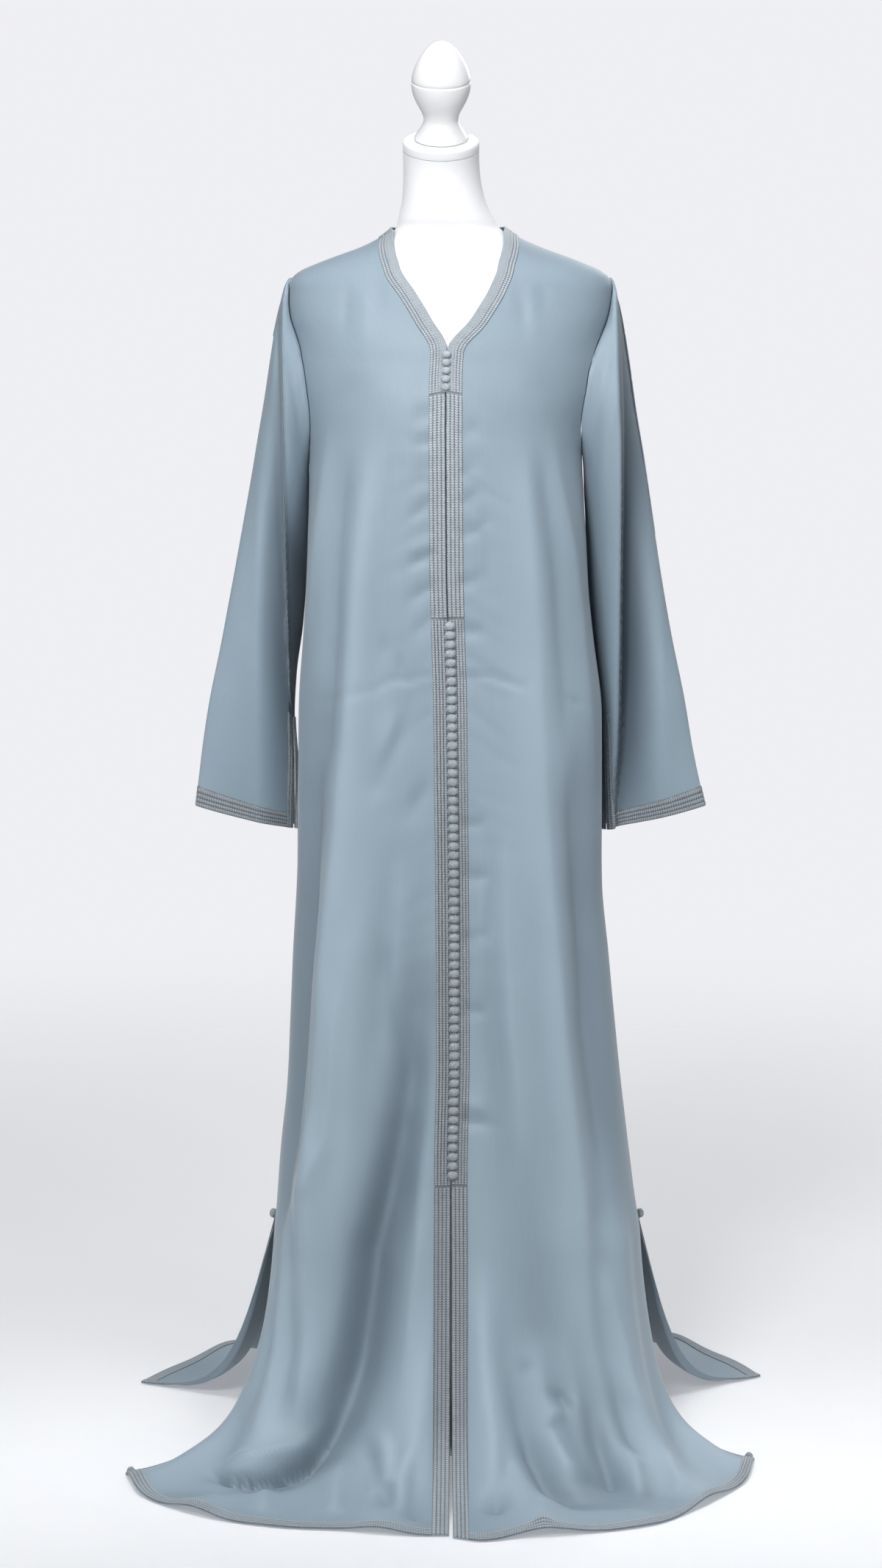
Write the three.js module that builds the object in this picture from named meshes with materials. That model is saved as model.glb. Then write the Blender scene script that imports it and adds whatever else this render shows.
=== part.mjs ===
// Takchita underpiece (tahtiya) on its limbless dress form, in millimetres.
// +Z is up, the garment faces -Y and the wearer's left is at +X. The origin is on the floor,
// at the middle of the box round the whole part.

import * as THREE from 'three';

// ---------------------------------------------------------------------------
// Driving dimensions
// ---------------------------------------------------------------------------

const FORM_AXIS_X = -14;        // the neck of the form, from the middle of the box
const CLOTH = 1.2;              // wall of the cloth
const SEAM_GAP = 0.3;           // from the middle of a seam to each cut edge
const SHOULDER_REST = 1.0;      // cloth above the form where it is carried
const FORM_INSET = 2.6;         // flat faces of the cloth need this much of the round form
const BRAID_WIDTH = 20;         // neck and centre front
const HEM_BRAID_WIDTH = 19;
const DROP_LENGTH = 420;        // cloth from the slit's height to the hem
const SLIT_BRAID_WIDTH = 9;
const BRAID_THICKNESS = 1.4;
const BRAID_LIFT = 0.35;        // braid above the cloth it is sewn to
const UNDERARM_Z = 1225;
const SLIT_TOP_Z = 262;         // where the side seams open
const FRONT_SLIT_Z = 325;       // where the fronts part below the last knot
const FRONT_SLIT_GAP = 4.5;     // between the fronts at the floor
const FLOOR_CLEARANCE = 2.2;    // outer face of the cloth above the floor
const KNOT_WIDTH = 12;
const KNOT_HEIGHT = 9.6;
const KNOT_DEPTH = 7.2;
const KNOT_ROW_TOP_Z = 1028;
const KNOT_ROW_BOTTOM_Z = 360;
const KNOTS_IN_ROW = 61;
const KNOT_STRIPS = 6;
const NECK_KNOT_TOP_Z = 1352;
const NECK_KNOT_BOTTOM_Z = 1313;
const NECK_KNOTS = 5;
const SLEEVE_SLIT_Z = 950;      // where the sleeve seam opens
const SLEEVE_SLIT_GAP = 5;
const SLEEVE_TURN = 42;         // the under edge hangs this far behind the outer edge
const NECK_TILT = 18.5;         // the cap of the neck leans forward, degrees
const NECK_RADIUS = 46.5;
const NECK_TOP_Z = 1596;
const CAP_HEIGHT = 13;
const TORSO_BOTTOM_Z = 800;
const POLE_RADIUS = 14;
const BASE_RADIUS = 172;
const BASE_HEIGHT = 12;
const JOINT_GAP = 0.3;          // between the pieces of the stand
const CLOTH_COLOUR = 0x93a6b5;
const BRAID_COLOUR = 0xa9b4bd;
const FORM_COLOUR = 0xf3f3f4;
const METAL_COLOUR = 0xe6e6e6;

// ---------------------------------------------------------------------------
// Tables
// ---------------------------------------------------------------------------

// Bare form, section by section: z, middle x and y, half width, depth in front and behind
// the middle, and the power of the oval.
const FORM_SECTIONS = [
  [1560, 1, -6, 46.5, 46.5, 46.5, 2.0],
  [1535, 3, -2, 50, 50, 51, 2.0],
  [1515, 6, 2, 58, 55, 58, 2.05],
  [1500, 9, 5, 69, 58, 63, 2.1],
  [1494, 10, 6, 76, 59, 65, 2.15],
  [1486, 11, 6, 90, 61, 68, 2.2],
  [1476, 12, 6, 112, 64, 72, 2.2],
  [1466, 12, 6, 140, 67, 76, 2.2],
  [1456, 12, 6, 166, 71, 80, 2.2],
  [1449, 12, 6, 182, 75, 83, 2.2],
  [1441, 12, 6, 192, 80, 87, 2.2],
  [1430, 12, 6, 196, 86, 91, 2.2],
  [1415, 11, 6, 196, 93, 95, 2.2],
  [1395, 10, 5, 194, 101, 99, 2.2],
  [1372, 9.5, 4, 188, 108, 102, 2.2],
  [1350, 9, 4, 182, 114, 104, 2.2],
  [1330, 8.5, 3, 177, 118, 105, 2.2],
  [1300, 8, 3, 168, 123, 106, 2.2],
  [1270, 7, 2, 160, 127, 106, 2.2],
  [1240, 6, 1, 155, 129, 105, 2.2],
  [1190, 6, 0, 147, 122, 99, 2.2],
  [1130, 7, 0, 136, 105, 88, 2.2],
  [1060, 8, 0, 126, 90, 80, 2.2],
  [1000, 9, 0, 137, 96, 91, 2.2],
  [940, 10, 0, 153, 104, 104, 2.2],
  [880, 10, 0, 160, 105, 109, 2.2],
  [830, 10, 0, 157, 101, 105, 2.2],
  [800, 10, 0, 150, 95, 98, 2.2],
];

// Cloth of the body where it hangs free: z, right side, left side, front, back.
const GOWN_SECTIONS = [
  [1345, -180, 200, -115, 112],
  [1300, -171, 188, -126, 112.5],
  [1262, -165, 178, -131.5, 112],
  [1225, -162, 174, -134.5, 111],
  [1180, -162, 176, -135, 110.5],
  [1130, -164, 179, -135, 111],
  [1070, -167, 182, -135, 113],
  [1000, -171, 189, -136, 116],
  [911, -176.5, 199, -139, 121],
  [830, -178, 200, -142, 127],
  [747, -179, 200.5, -146, 134],
  [691, -181, 202, -149, 139],
  [606, -186, 210, -155, 148],
  [521, -190, 218, -162, 158],
  [436, -194, 227, -171, 169],
  [350, -203, 238, -183, 183],
  [262, -209, 249, -198, 201],
];

// Neckline seen from the front: z, x on the wearer's right, x on the left.
const NECKLINE = [
  [1502, -58, 77],
  [1480, -56.5, 75],
  [1466, -53, 71],
  [1438, -41, 62.5],
  [1418, -26, 51.5],
  [1397, -13, 38],
  [1372, 0, 20],
  [1360, 7, 7.6],
];

// Where the fronts meet below the V: z, x.
const CENTRE_FRONT = [
  [1360, 7.3],
  [1320, 5.5],
  [1100, 6.5],
  [1029, 8.2],
  [930, 11],
  [500, 14.4],
  [360, 12],
  [262, 12],
];

// Armholes, as angles round the body from the middle of the front or the back:
// z, right front, left front, right back, left back.
const ARMHOLE = [
  [1441, 90, 90, 90, 90],
  [1438.5, 88, 88, 88, 88],
  [1431, 85, 86, 85, 85],
  [1418, 83, 84, 82, 82],
  [1395, 80, 81, 78, 78],
  [1372, 76.5, 76, 75, 75],
  [1350, 73, 70, 73, 73],
  [1326, 71, 66, 72, 72],
  [1298, 71.5, 67, 73, 73],
  [1268, 74, 71, 76, 76],
  [1244, 79, 78, 80, 80],
  [1225, 90, 90, 90, 90],
];

// Height of each front row at the neckline or centre front, beside the armhole's rows.
const NECK_ROW_Z = [
  1502, 1499, 1491, 1478, 1462, 1442, 1418, 1392, 1360, 1322, 1276, 1235,
];

// Rows of the back beside the armhole's rows: z at the side of the neck, its angle from the
// middle of the back, and z at the middle of the back.
const BACK_ROWS = [
  [1502, 90, 1500],
  [1498, 83, 1492],
  [1493, 76, 1484],
  [1487, 69, 1475.5],
  [1469, 63, 1452],
  [1446, 58, 1424],
  [1417, 54, 1394],
  [1382, 50, 1360],
  [1342, 48, 1324],
  [1300, 46, 1288],
  [1260, 45, 1254],
  [1225, 45, 1225],
];

// Rows below the underarm, down to the slit.
const HANG_ROWS = [1180, 1110, 1028, 940, 850, 755, 660, 565, 470, 400, 325, 262];

// Rows from the slit to the hem, as shares of the way.
const DROP_ROWS = [0.13, 0.27, 0.41, 0.54, 0.66, 0.78, 0.89];

// Hem on the floor, from the centre to the corner of each slit: x, y.
const HEM_FRONT_RIGHT = [
  [9, -459], [-25, -459], [-74, -452], [-124, -440], [-174, -434], [-225, -420],
  [-276, -397], [-329, -356], [-366, -310], [-384, -245],
];
const HEM_FRONT_LEFT = [
  [14, -466], [49, -477], [99, -464], [149, -455], [199, -442], [249, -422],
  [303, -369], [345, -312], [374, -258], [386, -190],
];
const HEM_BACK = [
  [-394, 120], [-350, 196], [-292, 262], [-190, 352], [-90, 426], [14, 470],
  [120, 440], [238, 368], [338, 283], [392, 214], [422, 147],
];

// Main folds of the body. Each line gives q and s: q is the height down to the slit and then
// falls to 0 at the hem, and s runs from 0 at the centre to 1 at the side. Width is in s and
// rise in millimetres by q, hollow where it is negative.
const FOLDS_FRONT_RIGHT = [
  {
    line: [[1230, 0.38], [950, 0.43], [700, 0.47], [400, 0.51], [150, 0.56], [0, 0.62]],
    width: 0.07,
    rise: [[1230, 0], [1050, 4], [700, 6], [300, 10], [120, 14], [0, 8]],
  },
  {
    line: [[760, 0.13], [430, 0.17], [260, 0.2], [150, 0.28], [80, 0.42], [30, 0.66], [0, 0.8]],
    width: 0.08,
    rise: [[760, 0], [430, -9], [200, -19], [80, -16], [30, -8], [0, 0]],
  },
  {
    line: [[560, 0.07], [262, 0.09], [120, 0.13], [0, 0.2]],
    width: 0.06,
    rise: [[560, 0], [262, 5], [120, 14], [0, 7]],
  },
  {
    line: [[300, 0.72], [120, 0.78], [0, 0.86]],
    width: 0.08,
    rise: [[300, 0], [150, 8], [60, 16], [0, 10]],
  },
];
const FOLDS_FRONT_LEFT = [
  {
    line: [[1230, 0.4], [950, 0.45], [700, 0.49], [400, 0.54], [150, 0.58], [0, 0.64]],
    width: 0.07,
    rise: [[1230, 0], [1050, 4], [700, 6], [300, 10], [120, 14], [0, 8]],
  },
  {
    line: [[460, 0.26], [262, 0.29], [130, 0.34], [60, 0.44], [20, 0.56], [0, 0.62]],
    width: 0.07,
    rise: [[460, 0], [262, -7], [130, -18], [60, -15], [20, -7], [0, 0]],
  },
  {
    line: [[560, 0.1], [262, 0.12], [120, 0.16], [0, 0.24]],
    width: 0.07,
    rise: [[560, 0], [262, 5], [120, 13], [0, 8]],
  },
  {
    line: [[330, 0.76], [120, 0.8], [0, 0.86]],
    width: 0.07,
    rise: [[330, 0], [150, 8], [60, 15], [0, 10]],
  },
];
const FOLDS_BACK = [
  {
    line: [[1000, 0.2], [400, 0.22], [0, 0.25]],
    width: 0.07,
    rise: [[1000, 0], [600, 6], [262, 14], [80, 20], [0, 10]],
  },
  {
    line: [[1100, -0.24], [400, -0.25], [0, -0.28]],
    width: 0.07,
    rise: [[1100, 0], [600, 7], [262, 14], [80, 20], [0, 10]],
  },
  {
    line: [[900, -0.02], [0, 0.0]],
    width: 0.07,
    rise: [[900, 0], [500, -6], [262, -10], [80, -8], [0, 0]],
  },
  {
    line: [[900, 0.56], [0, 0.6]],
    width: 0.08,
    rise: [[900, 0], [500, 6], [262, 12], [80, 18], [0, 10]],
  },
  {
    line: [[900, -0.58], [0, -0.62]],
    width: 0.08,
    rise: [[900, 0], [500, 6], [262, 12], [80, 18], [0, 10]],
  },
];

// Sleeves, ring by ring below the armhole: outer edge x and z, under edge x and z,
// middle y, half depth.
const SLEEVE_RIGHT = [
  [-196, 1419, -164, 1206, 4, 60],
  [-203, 1385, -163.2, 1181, 2, 68],
  [-211, 1340, -164, 1150, 0, 72],
  [-219, 1286, -165.8, 1112, -3, 72],
  [-230, 1222, -168.3, 1066, -6, 70],
  [-243, 1150, -172.4, 1010, -9, 65],
  [-257, 1073, -180.5, 950, -11, 59],
  [-271, 1000, -184, 896, -12, 53],
  [-286, 925, -180.8, 842, -13, 44],
  [-297, 860, -179.6, 803, -13, 37],
  [-303, 815, -179.8, 773, -13, 32],
  [-306, 790, -180, 755, -13, 30],
];
const SLEEVE_LEFT = [
  [215, 1421, 177, 1206, 4, 60],
  [223, 1385, 177.1, 1181, 2, 68],
  [231, 1340, 179.1, 1150, 0, 72],
  [239, 1286, 181, 1112, -3, 72],
  [250, 1222, 183.5, 1066, -6, 70],
  [261, 1150, 189.3, 1010, -9, 65],
  [273, 1073, 196, 950, -11, 59],
  [286, 1000, 200.6, 896, -12, 53],
  [302, 925, 201.2, 842, -13, 44],
  [314, 860, 201.4, 803, -13, 37],
  [324, 815, 201.6, 773, -13, 32],
  [330, 790, 202, 755, -13, 30],
];

// How the cloth falls from the slit's height to the hem, by share from the middle: how far
// out it leaves, how high it turns, and how far across and along it meets the floor.
const DROP_BACK = [
  [1.0, 0.29, 0.29, 0.33, 0.5],
  [0.9, 0.27, 0.13, 0.36, 0.42],
  [0.8, 0.22, 0.08, 0.45, 0.14],
  [0.7, 0.18, 0.08, 0.5, 0.08],
  [0.55, 0.15, 0.12, 0.5, 0.12],
  [0.3, 0.14, 0.28, 0.5, 0.42],
  [0.0, 0.15, 0.3, 0.52, 0.52],
];
const DROP_FRONT = [
  [1.0, 0.058, 0.037, 0.226, 0.7],
  [0.9, 0.06, 0.1, 0.27, 0.62],
  [0.75, 0.07, 0.2, 0.36, 0.52],
  [0.5, 0.09, 0.29, 0.46, 0.46],
  [0.0, 0.14, 0.3, 0.46, 0.46],
];

// ---------------------------------------------------------------------------
// Reading the tables
// ---------------------------------------------------------------------------

// Smooth value of every column at q, for a table whose first column falls.
function readTable(rows, q) {
  const last = rows.length - 1;
  if (q >= rows[0][0]) {
    return rows[0];
  }
  if (q <= rows[last][0]) {
    return rows[last];
  }
  let i = 0;
  while (rows[i + 1][0] > q) {
    i += 1;
  }
  const step = (k) => rows[k + 1][0] - rows[k][0];
  const rate = (k, c) => (rows[k + 1][c] - rows[k][c]) / step(k);
  const slope = (k, c) => {
    if (k === 0) {
      return rate(0, c);
    }
    if (k === last) {
      return rate(last - 1, c);
    }
    const before = rate(k - 1, c);
    const after = rate(k, c);
    if (before * after <= 0) {
      return 0;
    }
    return (2 * before * after) / (before + after);
  };
  const h = step(i);
  const t = (q - rows[i][0]) / h;
  return rows[i].map((value, c) => {
    if (c === 0) {
      return q;
    }
    const a = 2 * t ** 3 - 3 * t ** 2 + 1;
    const b = t ** 3 - 2 * t ** 2 + t;
    const d = t ** 3 - t ** 2;
    return a * value + b * h * slope(i, c) + (1 - a) * rows[i + 1][c] + d * h * slope(i + 1, c);
  });
}

const clamp = (x, lo, hi) => Math.min(hi, Math.max(lo, x));
const mix = (a, b, t) => a + (b - a) * t;
const radians = (degrees) => (degrees * Math.PI) / 180;

function smooth(lo, hi, x) {
  const t = clamp((x - lo) / (hi - lo), 0, 1);
  return t * t * (3 - 2 * t);
}

const signedPower = (x, p) => Math.sign(x) * Math.abs(x) ** p;

// ---------------------------------------------------------------------------
// Surfaces of the form and of the cloth
// ---------------------------------------------------------------------------

// Angle 0 is the middle of the front, +90 degrees the wearer's left side, 180 the back.
function oval(x, y, half, front, back, power, angle, z) {
  const c = Math.cos(angle);
  const depth = c > 0 ? front : back;
  return new THREE.Vector3(
    x + half * signedPower(Math.sin(angle), 2 / power),
    y - depth * signedPower(c, 2 / power),
    z,
  );
}

function formPoint(angle, z) {
  const [, x, y, half, front, back, power] = readTable(FORM_SECTIONS, z);
  return oval(x, y, half, front, back, power, angle, z);
}

function formNormal(angle, z) {
  const e = 0.02;
  const along = formPoint(angle + e, z).sub(formPoint(angle - e, z));
  const down = formPoint(angle, z - 2).sub(formPoint(angle, z + 2));
  return down.cross(along).normalize();
}

// Outer face of the body cloth without its folds. It lies on the form at the shoulders and
// hangs free from the bust and the shoulder blades.
function gownPoint(angle, z) {
  const [, right, left, front, back] = readTable(GOWN_SECTIONS, z);
  const power = 2.2 + 1.1 * smooth(1270, 1060, z);
  const free = oval((right + left) / 2, 0, (left - right) / 2, -front, back, power, angle, z);
  const worn = smooth(1300, 1395, z);
  if (worn === 0) {
    return free;
  }
  const rest = formPoint(angle, z).addScaledVector(formNormal(angle, z), CLOTH + SHOULDER_REST);
  return free.lerp(rest, worn);
}

// Angle at which the cloth of one half of the front reaches a given x.
function angleAtX(x, z, side) {
  let lo = -0.5;
  let hi = Math.PI / 2;
  for (let k = 0; k < 30; k += 1) {
    const mid = (lo + hi) / 2;
    if ((gownPoint(mid * side, z).x - x) * side < 0) {
      lo = mid;
    } else {
      hi = mid;
    }
  }
  return lo * side;
}

// ---------------------------------------------------------------------------
// Grids of points
// ---------------------------------------------------------------------------

function polylineLengths(points) {
  const lengths = [0];
  for (let k = 1; k < points.length; k += 1) {
    lengths.push(lengths[k - 1] + points[k].distanceTo(points[k - 1]));
  }
  return lengths;
}

function pointAtLength(points, lengths, d) {
  let k = 1;
  while (k < points.length - 1 && lengths[k] < d) {
    k += 1;
  }
  const t = (d - lengths[k - 1]) / (lengths[k] - lengths[k - 1]);
  return points[k - 1].clone().lerp(points[k], t);
}

// Shares of the way across a row: one strip of a given width at each end, the rest even.
function columnShares(length, columns, startStrip, endStrip, startGap, endGap) {
  const first = startGap + startStrip;
  const last = length - endGap - endStrip;
  const shares = [startGap / length];
  const inner = columns - 2;
  for (let k = 0; k <= inner; k += 1) {
    shares.push(mix(first, last, k / inner) / length);
  }
  shares.push((length - endGap) / length);
  return shares;
}

// Normals of a grid; turn is 1 where its columns run to the left seen from outside, else -1.
function gridNormals(grid, turn) {
  return grid.map((row, i) => row.map((point, j) => {
    const up = grid[Math.max(i - 1, 0)][j];
    const down = grid[Math.min(i + 1, grid.length - 1)][j];
    const before = row[Math.max(j - 1, 0)];
    const after = row[Math.min(j + 1, row.length - 1)];
    const normal = down.clone().sub(up).cross(after.clone().sub(before));
    return normal.normalize().multiplyScalar(turn);
  }));
}

function foldAt(folds, s, q) {
  let rise = 0;
  for (const fold of folds) {
    const [, middle] = readTable(fold.line, q);
    const [, height] = readTable(fold.rise, q);
    rise += height * Math.exp(-(((s - middle) / fold.width) ** 2));
  }
  const window = smooth(0, 0.1, Math.abs(s)) * smooth(1.0, 0.9, Math.abs(s));
  return rise * window;
}

// Falls from the slit's height to the hem, first down and then out along the floor.
function dropPoint(from, hem, t, drop, share) {
  const [, start, turnHeight, across, along] = readTable(drop, share);
  const a = new THREE.Vector3(
    mix(from.x, hem.x, start),
    mix(from.y, hem.y, start),
    from.z * turnHeight,
  );
  const b = new THREE.Vector3(mix(from.x, hem.x, across), mix(from.y, hem.y, along), 3.5);
  const c = new THREE.Vector3(hem.x, hem.y, 2.6);
  return new THREE.CubicBezierCurve3(from, a, b, c).getPoint(t);
}

// Adds the drop rows and the folds to the hanging rows of a panel.
function finishPanel(rows, qs, hemPoints, hemShares, folds, sOf, drop, turn, seam, dy) {
  const hemLengths = polylineLengths(hemPoints);
  const total = hemLengths[hemLengths.length - 1];
  const top = rows[rows.length - 1];
  const hemStep = HEM_BRAID_WIDTH / DROP_LENGTH;
  for (const t of [...DROP_ROWS, 1 - hemStep, 1]) {
    rows.push(top.map((from, j) => {
      const hem = pointAtLength(hemPoints, hemLengths, hemShares[j] * total);
      return dropPoint(from, hem, t, drop, Math.abs(sOf(j)));
    }));
    qs.push(SLIT_TOP_Z * (1 - t));
  }
  const normals = gridNormals(rows, turn);
  const grid = rows.map((row, i) => row.map((point, j) => {
    const moved = point.clone();
    moved.addScaledVector(normals[i][j], foldAt(folds, sOf(j), qs[i]));
    if (moved.z < FLOOR_CLEARANCE) {
      moved.z = FLOOR_CLEARANCE;
    }
    return moved;
  }));
  const finished = gridNormals(grid, turn);
  finished[0].forEach((normal, j) => {
    const side = seam(j);
    if (side !== 0) {
      normal.copy(formNormal((side * Math.PI) / 2, grid[0][j].z));
      grid[0][j].y += dy;
    }
  });
  return { grid, qs, normals: finished };
}

// One front. side is -1 for the wearer's right and +1 for the left.
function frontPanel(side, hem, folds) {
  const columns = 13;
  const rows = [];
  const qs = [];
  const armColumn = side < 0 ? 1 : 2;
  const spans = [];
  ARMHOLE.forEach((arm, i) => {
    const z = NECK_ROW_Z[i];
    const line = readTable(NECKLINE, z);
    const x = z >= 1360 ? line[side < 0 ? 1 : 2] : readTable(CENTRE_FRONT, z)[1];
    const start = i === 0 ? (Math.PI / 2) * side : angleAtX(x, z, side);
    spans.push([start, z, radians(arm[armColumn]) * side, arm[0]]);
  });
  for (const z of HANG_ROWS) {
    spans.push([angleAtX(readTable(CENTRE_FRONT, z)[1], z, side), z, (Math.PI / 2) * side, z]);
  }
  for (const [a0, z0, a1, z1] of spans) {
    const path = [];
    for (let k = 0; k <= 48; k += 1) {
      path.push(gownPoint(mix(a0, a1, k / 48), mix(z0, z1, k / 48)));
    }
    const lengths = polylineLengths(path);
    const length = lengths[48];
    const parting = smooth(FRONT_SLIT_Z + 30, 0, Math.min(z0, z1)) * FRONT_SLIT_GAP * 0.5;
    const gap = SEAM_GAP + (z0 < 1360 ? parting : 0);
    const shares = columnShares(
      length, columns, BRAID_WIDTH, SLIT_BRAID_WIDTH, gap, SEAM_GAP,
    );
    rows.push(shares.map((share) => pointAtLength(path, lengths, share * length)));
    qs.push((z0 + z1) / 2);
  }
  const hemPoints = hem.map(([x, y]) => new THREE.Vector3(x, y, 0));
  const hemLength = polylineLengths(hemPoints)[hemPoints.length - 1];
  const hemShares = columnShares(hemLength, columns, BRAID_WIDTH, SLIT_BRAID_WIDTH, 0, 0);
  return finishPanel(
    rows, qs, hemPoints, hemShares, folds,
    (j) => j / columns,
    DROP_FRONT,
    side,
    () => side,
    -SEAM_GAP,
  );
}

// The back, from the right side to the left.
function backPanel() {
  const shoulderColumns = 5;
  const neckColumns = 10;
  const columns = 2 * shoulderColumns + neckColumns;
  const rows = [];
  const qs = [];
  ARMHOLE.forEach((arm, i) => {
    const [neckZ, neckAngle, middleZ] = BACK_ROWS[i];
    const row = [];
    for (let j = 0; j <= columns; j += 1) {
      const side = j <= columns / 2 ? -1 : 1;
      const k = Math.min(j, columns - j);
      const onShoulder = Math.min(k / shoulderColumns, 1);
      const onNeck = clamp((k - shoulderColumns) / (neckColumns / 2), 0, 1);
      const armAngle = arm[side < 0 ? 3 : 4];
      const angle = mix(mix(armAngle, neckAngle, onShoulder), 0, onNeck);
      const z = mix(mix(arm[0], neckZ, onShoulder), middleZ, smooth(0, 1, onNeck));
      row.push(gownPoint((Math.PI - radians(angle)) * side, z));
    }
    rows.push(row);
    qs.push(arm[0]);
  });
  for (const z of HANG_ROWS) {
    const path = [];
    for (let k = 0; k <= 72; k += 1) {
      path.push(gownPoint(-Math.PI / 2 - (Math.PI * k) / 72, z));
    }
    const lengths = polylineLengths(path);
    const length = lengths[72];
    const shares = columnShares(
      length, columns, SLIT_BRAID_WIDTH, SLIT_BRAID_WIDTH, SEAM_GAP, SEAM_GAP,
    );
    const blend = smooth(UNDERARM_Z, 1000, z);
    rows.push(shares.map((share, j) => {
      const even = mix(SEAM_GAP / length, 1 - SEAM_GAP / length, j / columns);
      return pointAtLength(path, lengths, mix(even, share, blend) * length);
    }));
    qs.push(z);
  }
  const hemPoints = HEM_BACK.map(([x, y]) => new THREE.Vector3(x, y, 0));
  const hemLength = polylineLengths(hemPoints)[hemPoints.length - 1];
  const hemShares = columnShares(hemLength, columns, SLIT_BRAID_WIDTH, SLIT_BRAID_WIDTH, 0, 0);
  return finishPanel(
    rows, qs, hemPoints, hemShares, FOLDS_BACK,
    (j) => (2 * j) / columns - 1,
    DROP_BACK,
    -1,
    (j) => (j <= shoulderColumns ? -1 : Number(j >= columns - shoulderColumns)),
    SEAM_GAP,
  );
}

// One sleeve. Its seam runs from the underarm to the slit at the cuff.
function sleevePanel(side, table) {
  const front = ARMHOLE.map((arm) => {
    const angle = radians(arm[side < 0 ? 1 : 2]) * side;
    return gownPoint(angle, arm[0]);
  }).reverse();
  const back = ARMHOLE.map((arm) => {
    const angle = (Math.PI - radians(arm[side < 0 ? 3 : 4])) * side;
    return gownPoint(angle, arm[0]);
  });
  const ring = [...front, ...back.slice(1)];
  const columns = ring.length - 1;
  const grid = [ring.map((point) => point.clone().add(new THREE.Vector3(side * 0.8, 0, 0)))];
  const mouth = ring.map((point, k) => {
    const sign = k <= columns / 2 ? 1 : -1;
    return sign * Math.acos(clamp((point.z - 1333) / 108, -1, 1));
  });
  mouth[columns / 2] = 0;
  table.forEach(([ox, oz, ix, iz, y, depth], r) => {
    const share = (r + 1) / table.length;
    const middle = new THREE.Vector3((ox + ix) / 2, y, (oz + iz) / 2);
    const reach = new THREE.Vector3((ox - ix) / 2, 0, (oz - iz) / 2);
    const even = smooth(0, 0.5, share);
    const twist = radians(24) * smooth(0.1, 0.9, share);
    const low = Math.min(oz, iz);
    const open = smooth(SLEEVE_SLIT_Z + 40, 760, low) * SLEEVE_SLIT_GAP;
    const gap = (SEAM_GAP + open / 2) / (Math.PI * (depth + reach.length()) / 2);
    grid.push(ring.map((point, k) => {
      const flat = Math.PI * (1 - (2 * k) / columns);
      let phi = mix(mouth[k], flat, even) - twist;
      if (k === 0) {
        phi -= gap * 2;
      }
      if (k === columns) {
        phi += gap * 2;
      }
      const target = middle.clone().addScaledVector(reach, Math.cos(phi));
      target.y += SLEEVE_TURN * even * (1 - Math.cos(phi)) * 0.5 - depth * Math.sin(phi);
      const hold = clamp(1 - (r + 1) / 3, 0, 1) ** 2;
      const carried = point.clone();
      carried.x += side * (r + 1) * 7 * smooth(-1, -0.4, Math.cos(phi));
      carried.z -= (r + 1) * 10;
      return target.lerp(carried, hold);
    }));
  });
  grid[0][0].y -= SEAM_GAP;
  grid[0][columns].y += SEAM_GAP;
  return { grid, normals: gridNormals(grid, side) };
}

// ---------------------------------------------------------------------------
// Solids from grids
// ---------------------------------------------------------------------------

// Closed wall between an outer grid and an inner grid of the same size.
function wallGeometry(outer, inner) {
  const rows = outer.length;
  const columns = outer[0].length;
  const positions = [];
  [...outer, ...inner].forEach((row) => row.forEach((p) => positions.push(p.x, p.y, p.z)));
  const index = [];
  const o = (i, j) => i * columns + j;
  const n = (i, j) => rows * columns + i * columns + j;
  const quad = (a, b, c, d) => index.push(a, b, c, a, c, d);
  for (let i = 0; i < rows - 1; i += 1) {
    for (let j = 0; j < columns - 1; j += 1) {
      quad(o(i, j), o(i + 1, j), o(i + 1, j + 1), o(i, j + 1));
      index.push(n(i, j), n(i + 1, j + 1), n(i + 1, j));
      index.push(n(i, j), n(i, j + 1), n(i + 1, j + 1));
    }
  }
  for (let j = 0; j < columns - 1; j += 1) {
    quad(o(0, j), o(0, j + 1), n(0, j + 1), n(0, j));
    quad(o(rows - 1, j + 1), o(rows - 1, j), n(rows - 1, j), n(rows - 1, j + 1));
  }
  for (let i = 0; i < rows - 1; i += 1) {
    quad(o(i + 1, 0), o(i, 0), n(i, 0), n(i + 1, 0));
    quad(o(i, columns - 1), o(i + 1, columns - 1), n(i + 1, columns - 1), n(i, columns - 1));
  }
  const geometry = new THREE.BufferGeometry();
  geometry.setAttribute('position', new THREE.Float32BufferAttribute(positions, 3));
  geometry.setIndex(index);
  return outward(geometry);
}

// Turns a closed geometry so that its faces point out.
function outward(geometry) {
  const p = geometry.getAttribute('position');
  const index = geometry.getIndex();
  const a = new THREE.Vector3();
  const b = new THREE.Vector3();
  const c = new THREE.Vector3();
  let volume = 0;
  for (let k = 0; k < index.count; k += 3) {
    a.fromBufferAttribute(p, index.getX(k));
    b.fromBufferAttribute(p, index.getX(k + 1));
    c.fromBufferAttribute(p, index.getX(k + 2));
    volume += a.dot(b.cross(c));
  }
  if (volume < 0) {
    for (let k = 0; k < index.count; k += 3) {
      const keep = index.getX(k + 1);
      index.setX(k + 1, index.getX(k + 2));
      index.setX(k + 2, keep);
    }
  }
  geometry.computeVertexNormals();
  return geometry;
}

const offsetGrid = (grid, normals, distance) => grid.map(
  (row, i) => row.map((p, j) => p.clone().addScaledVector(normals[i][j], distance)),
);

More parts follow.
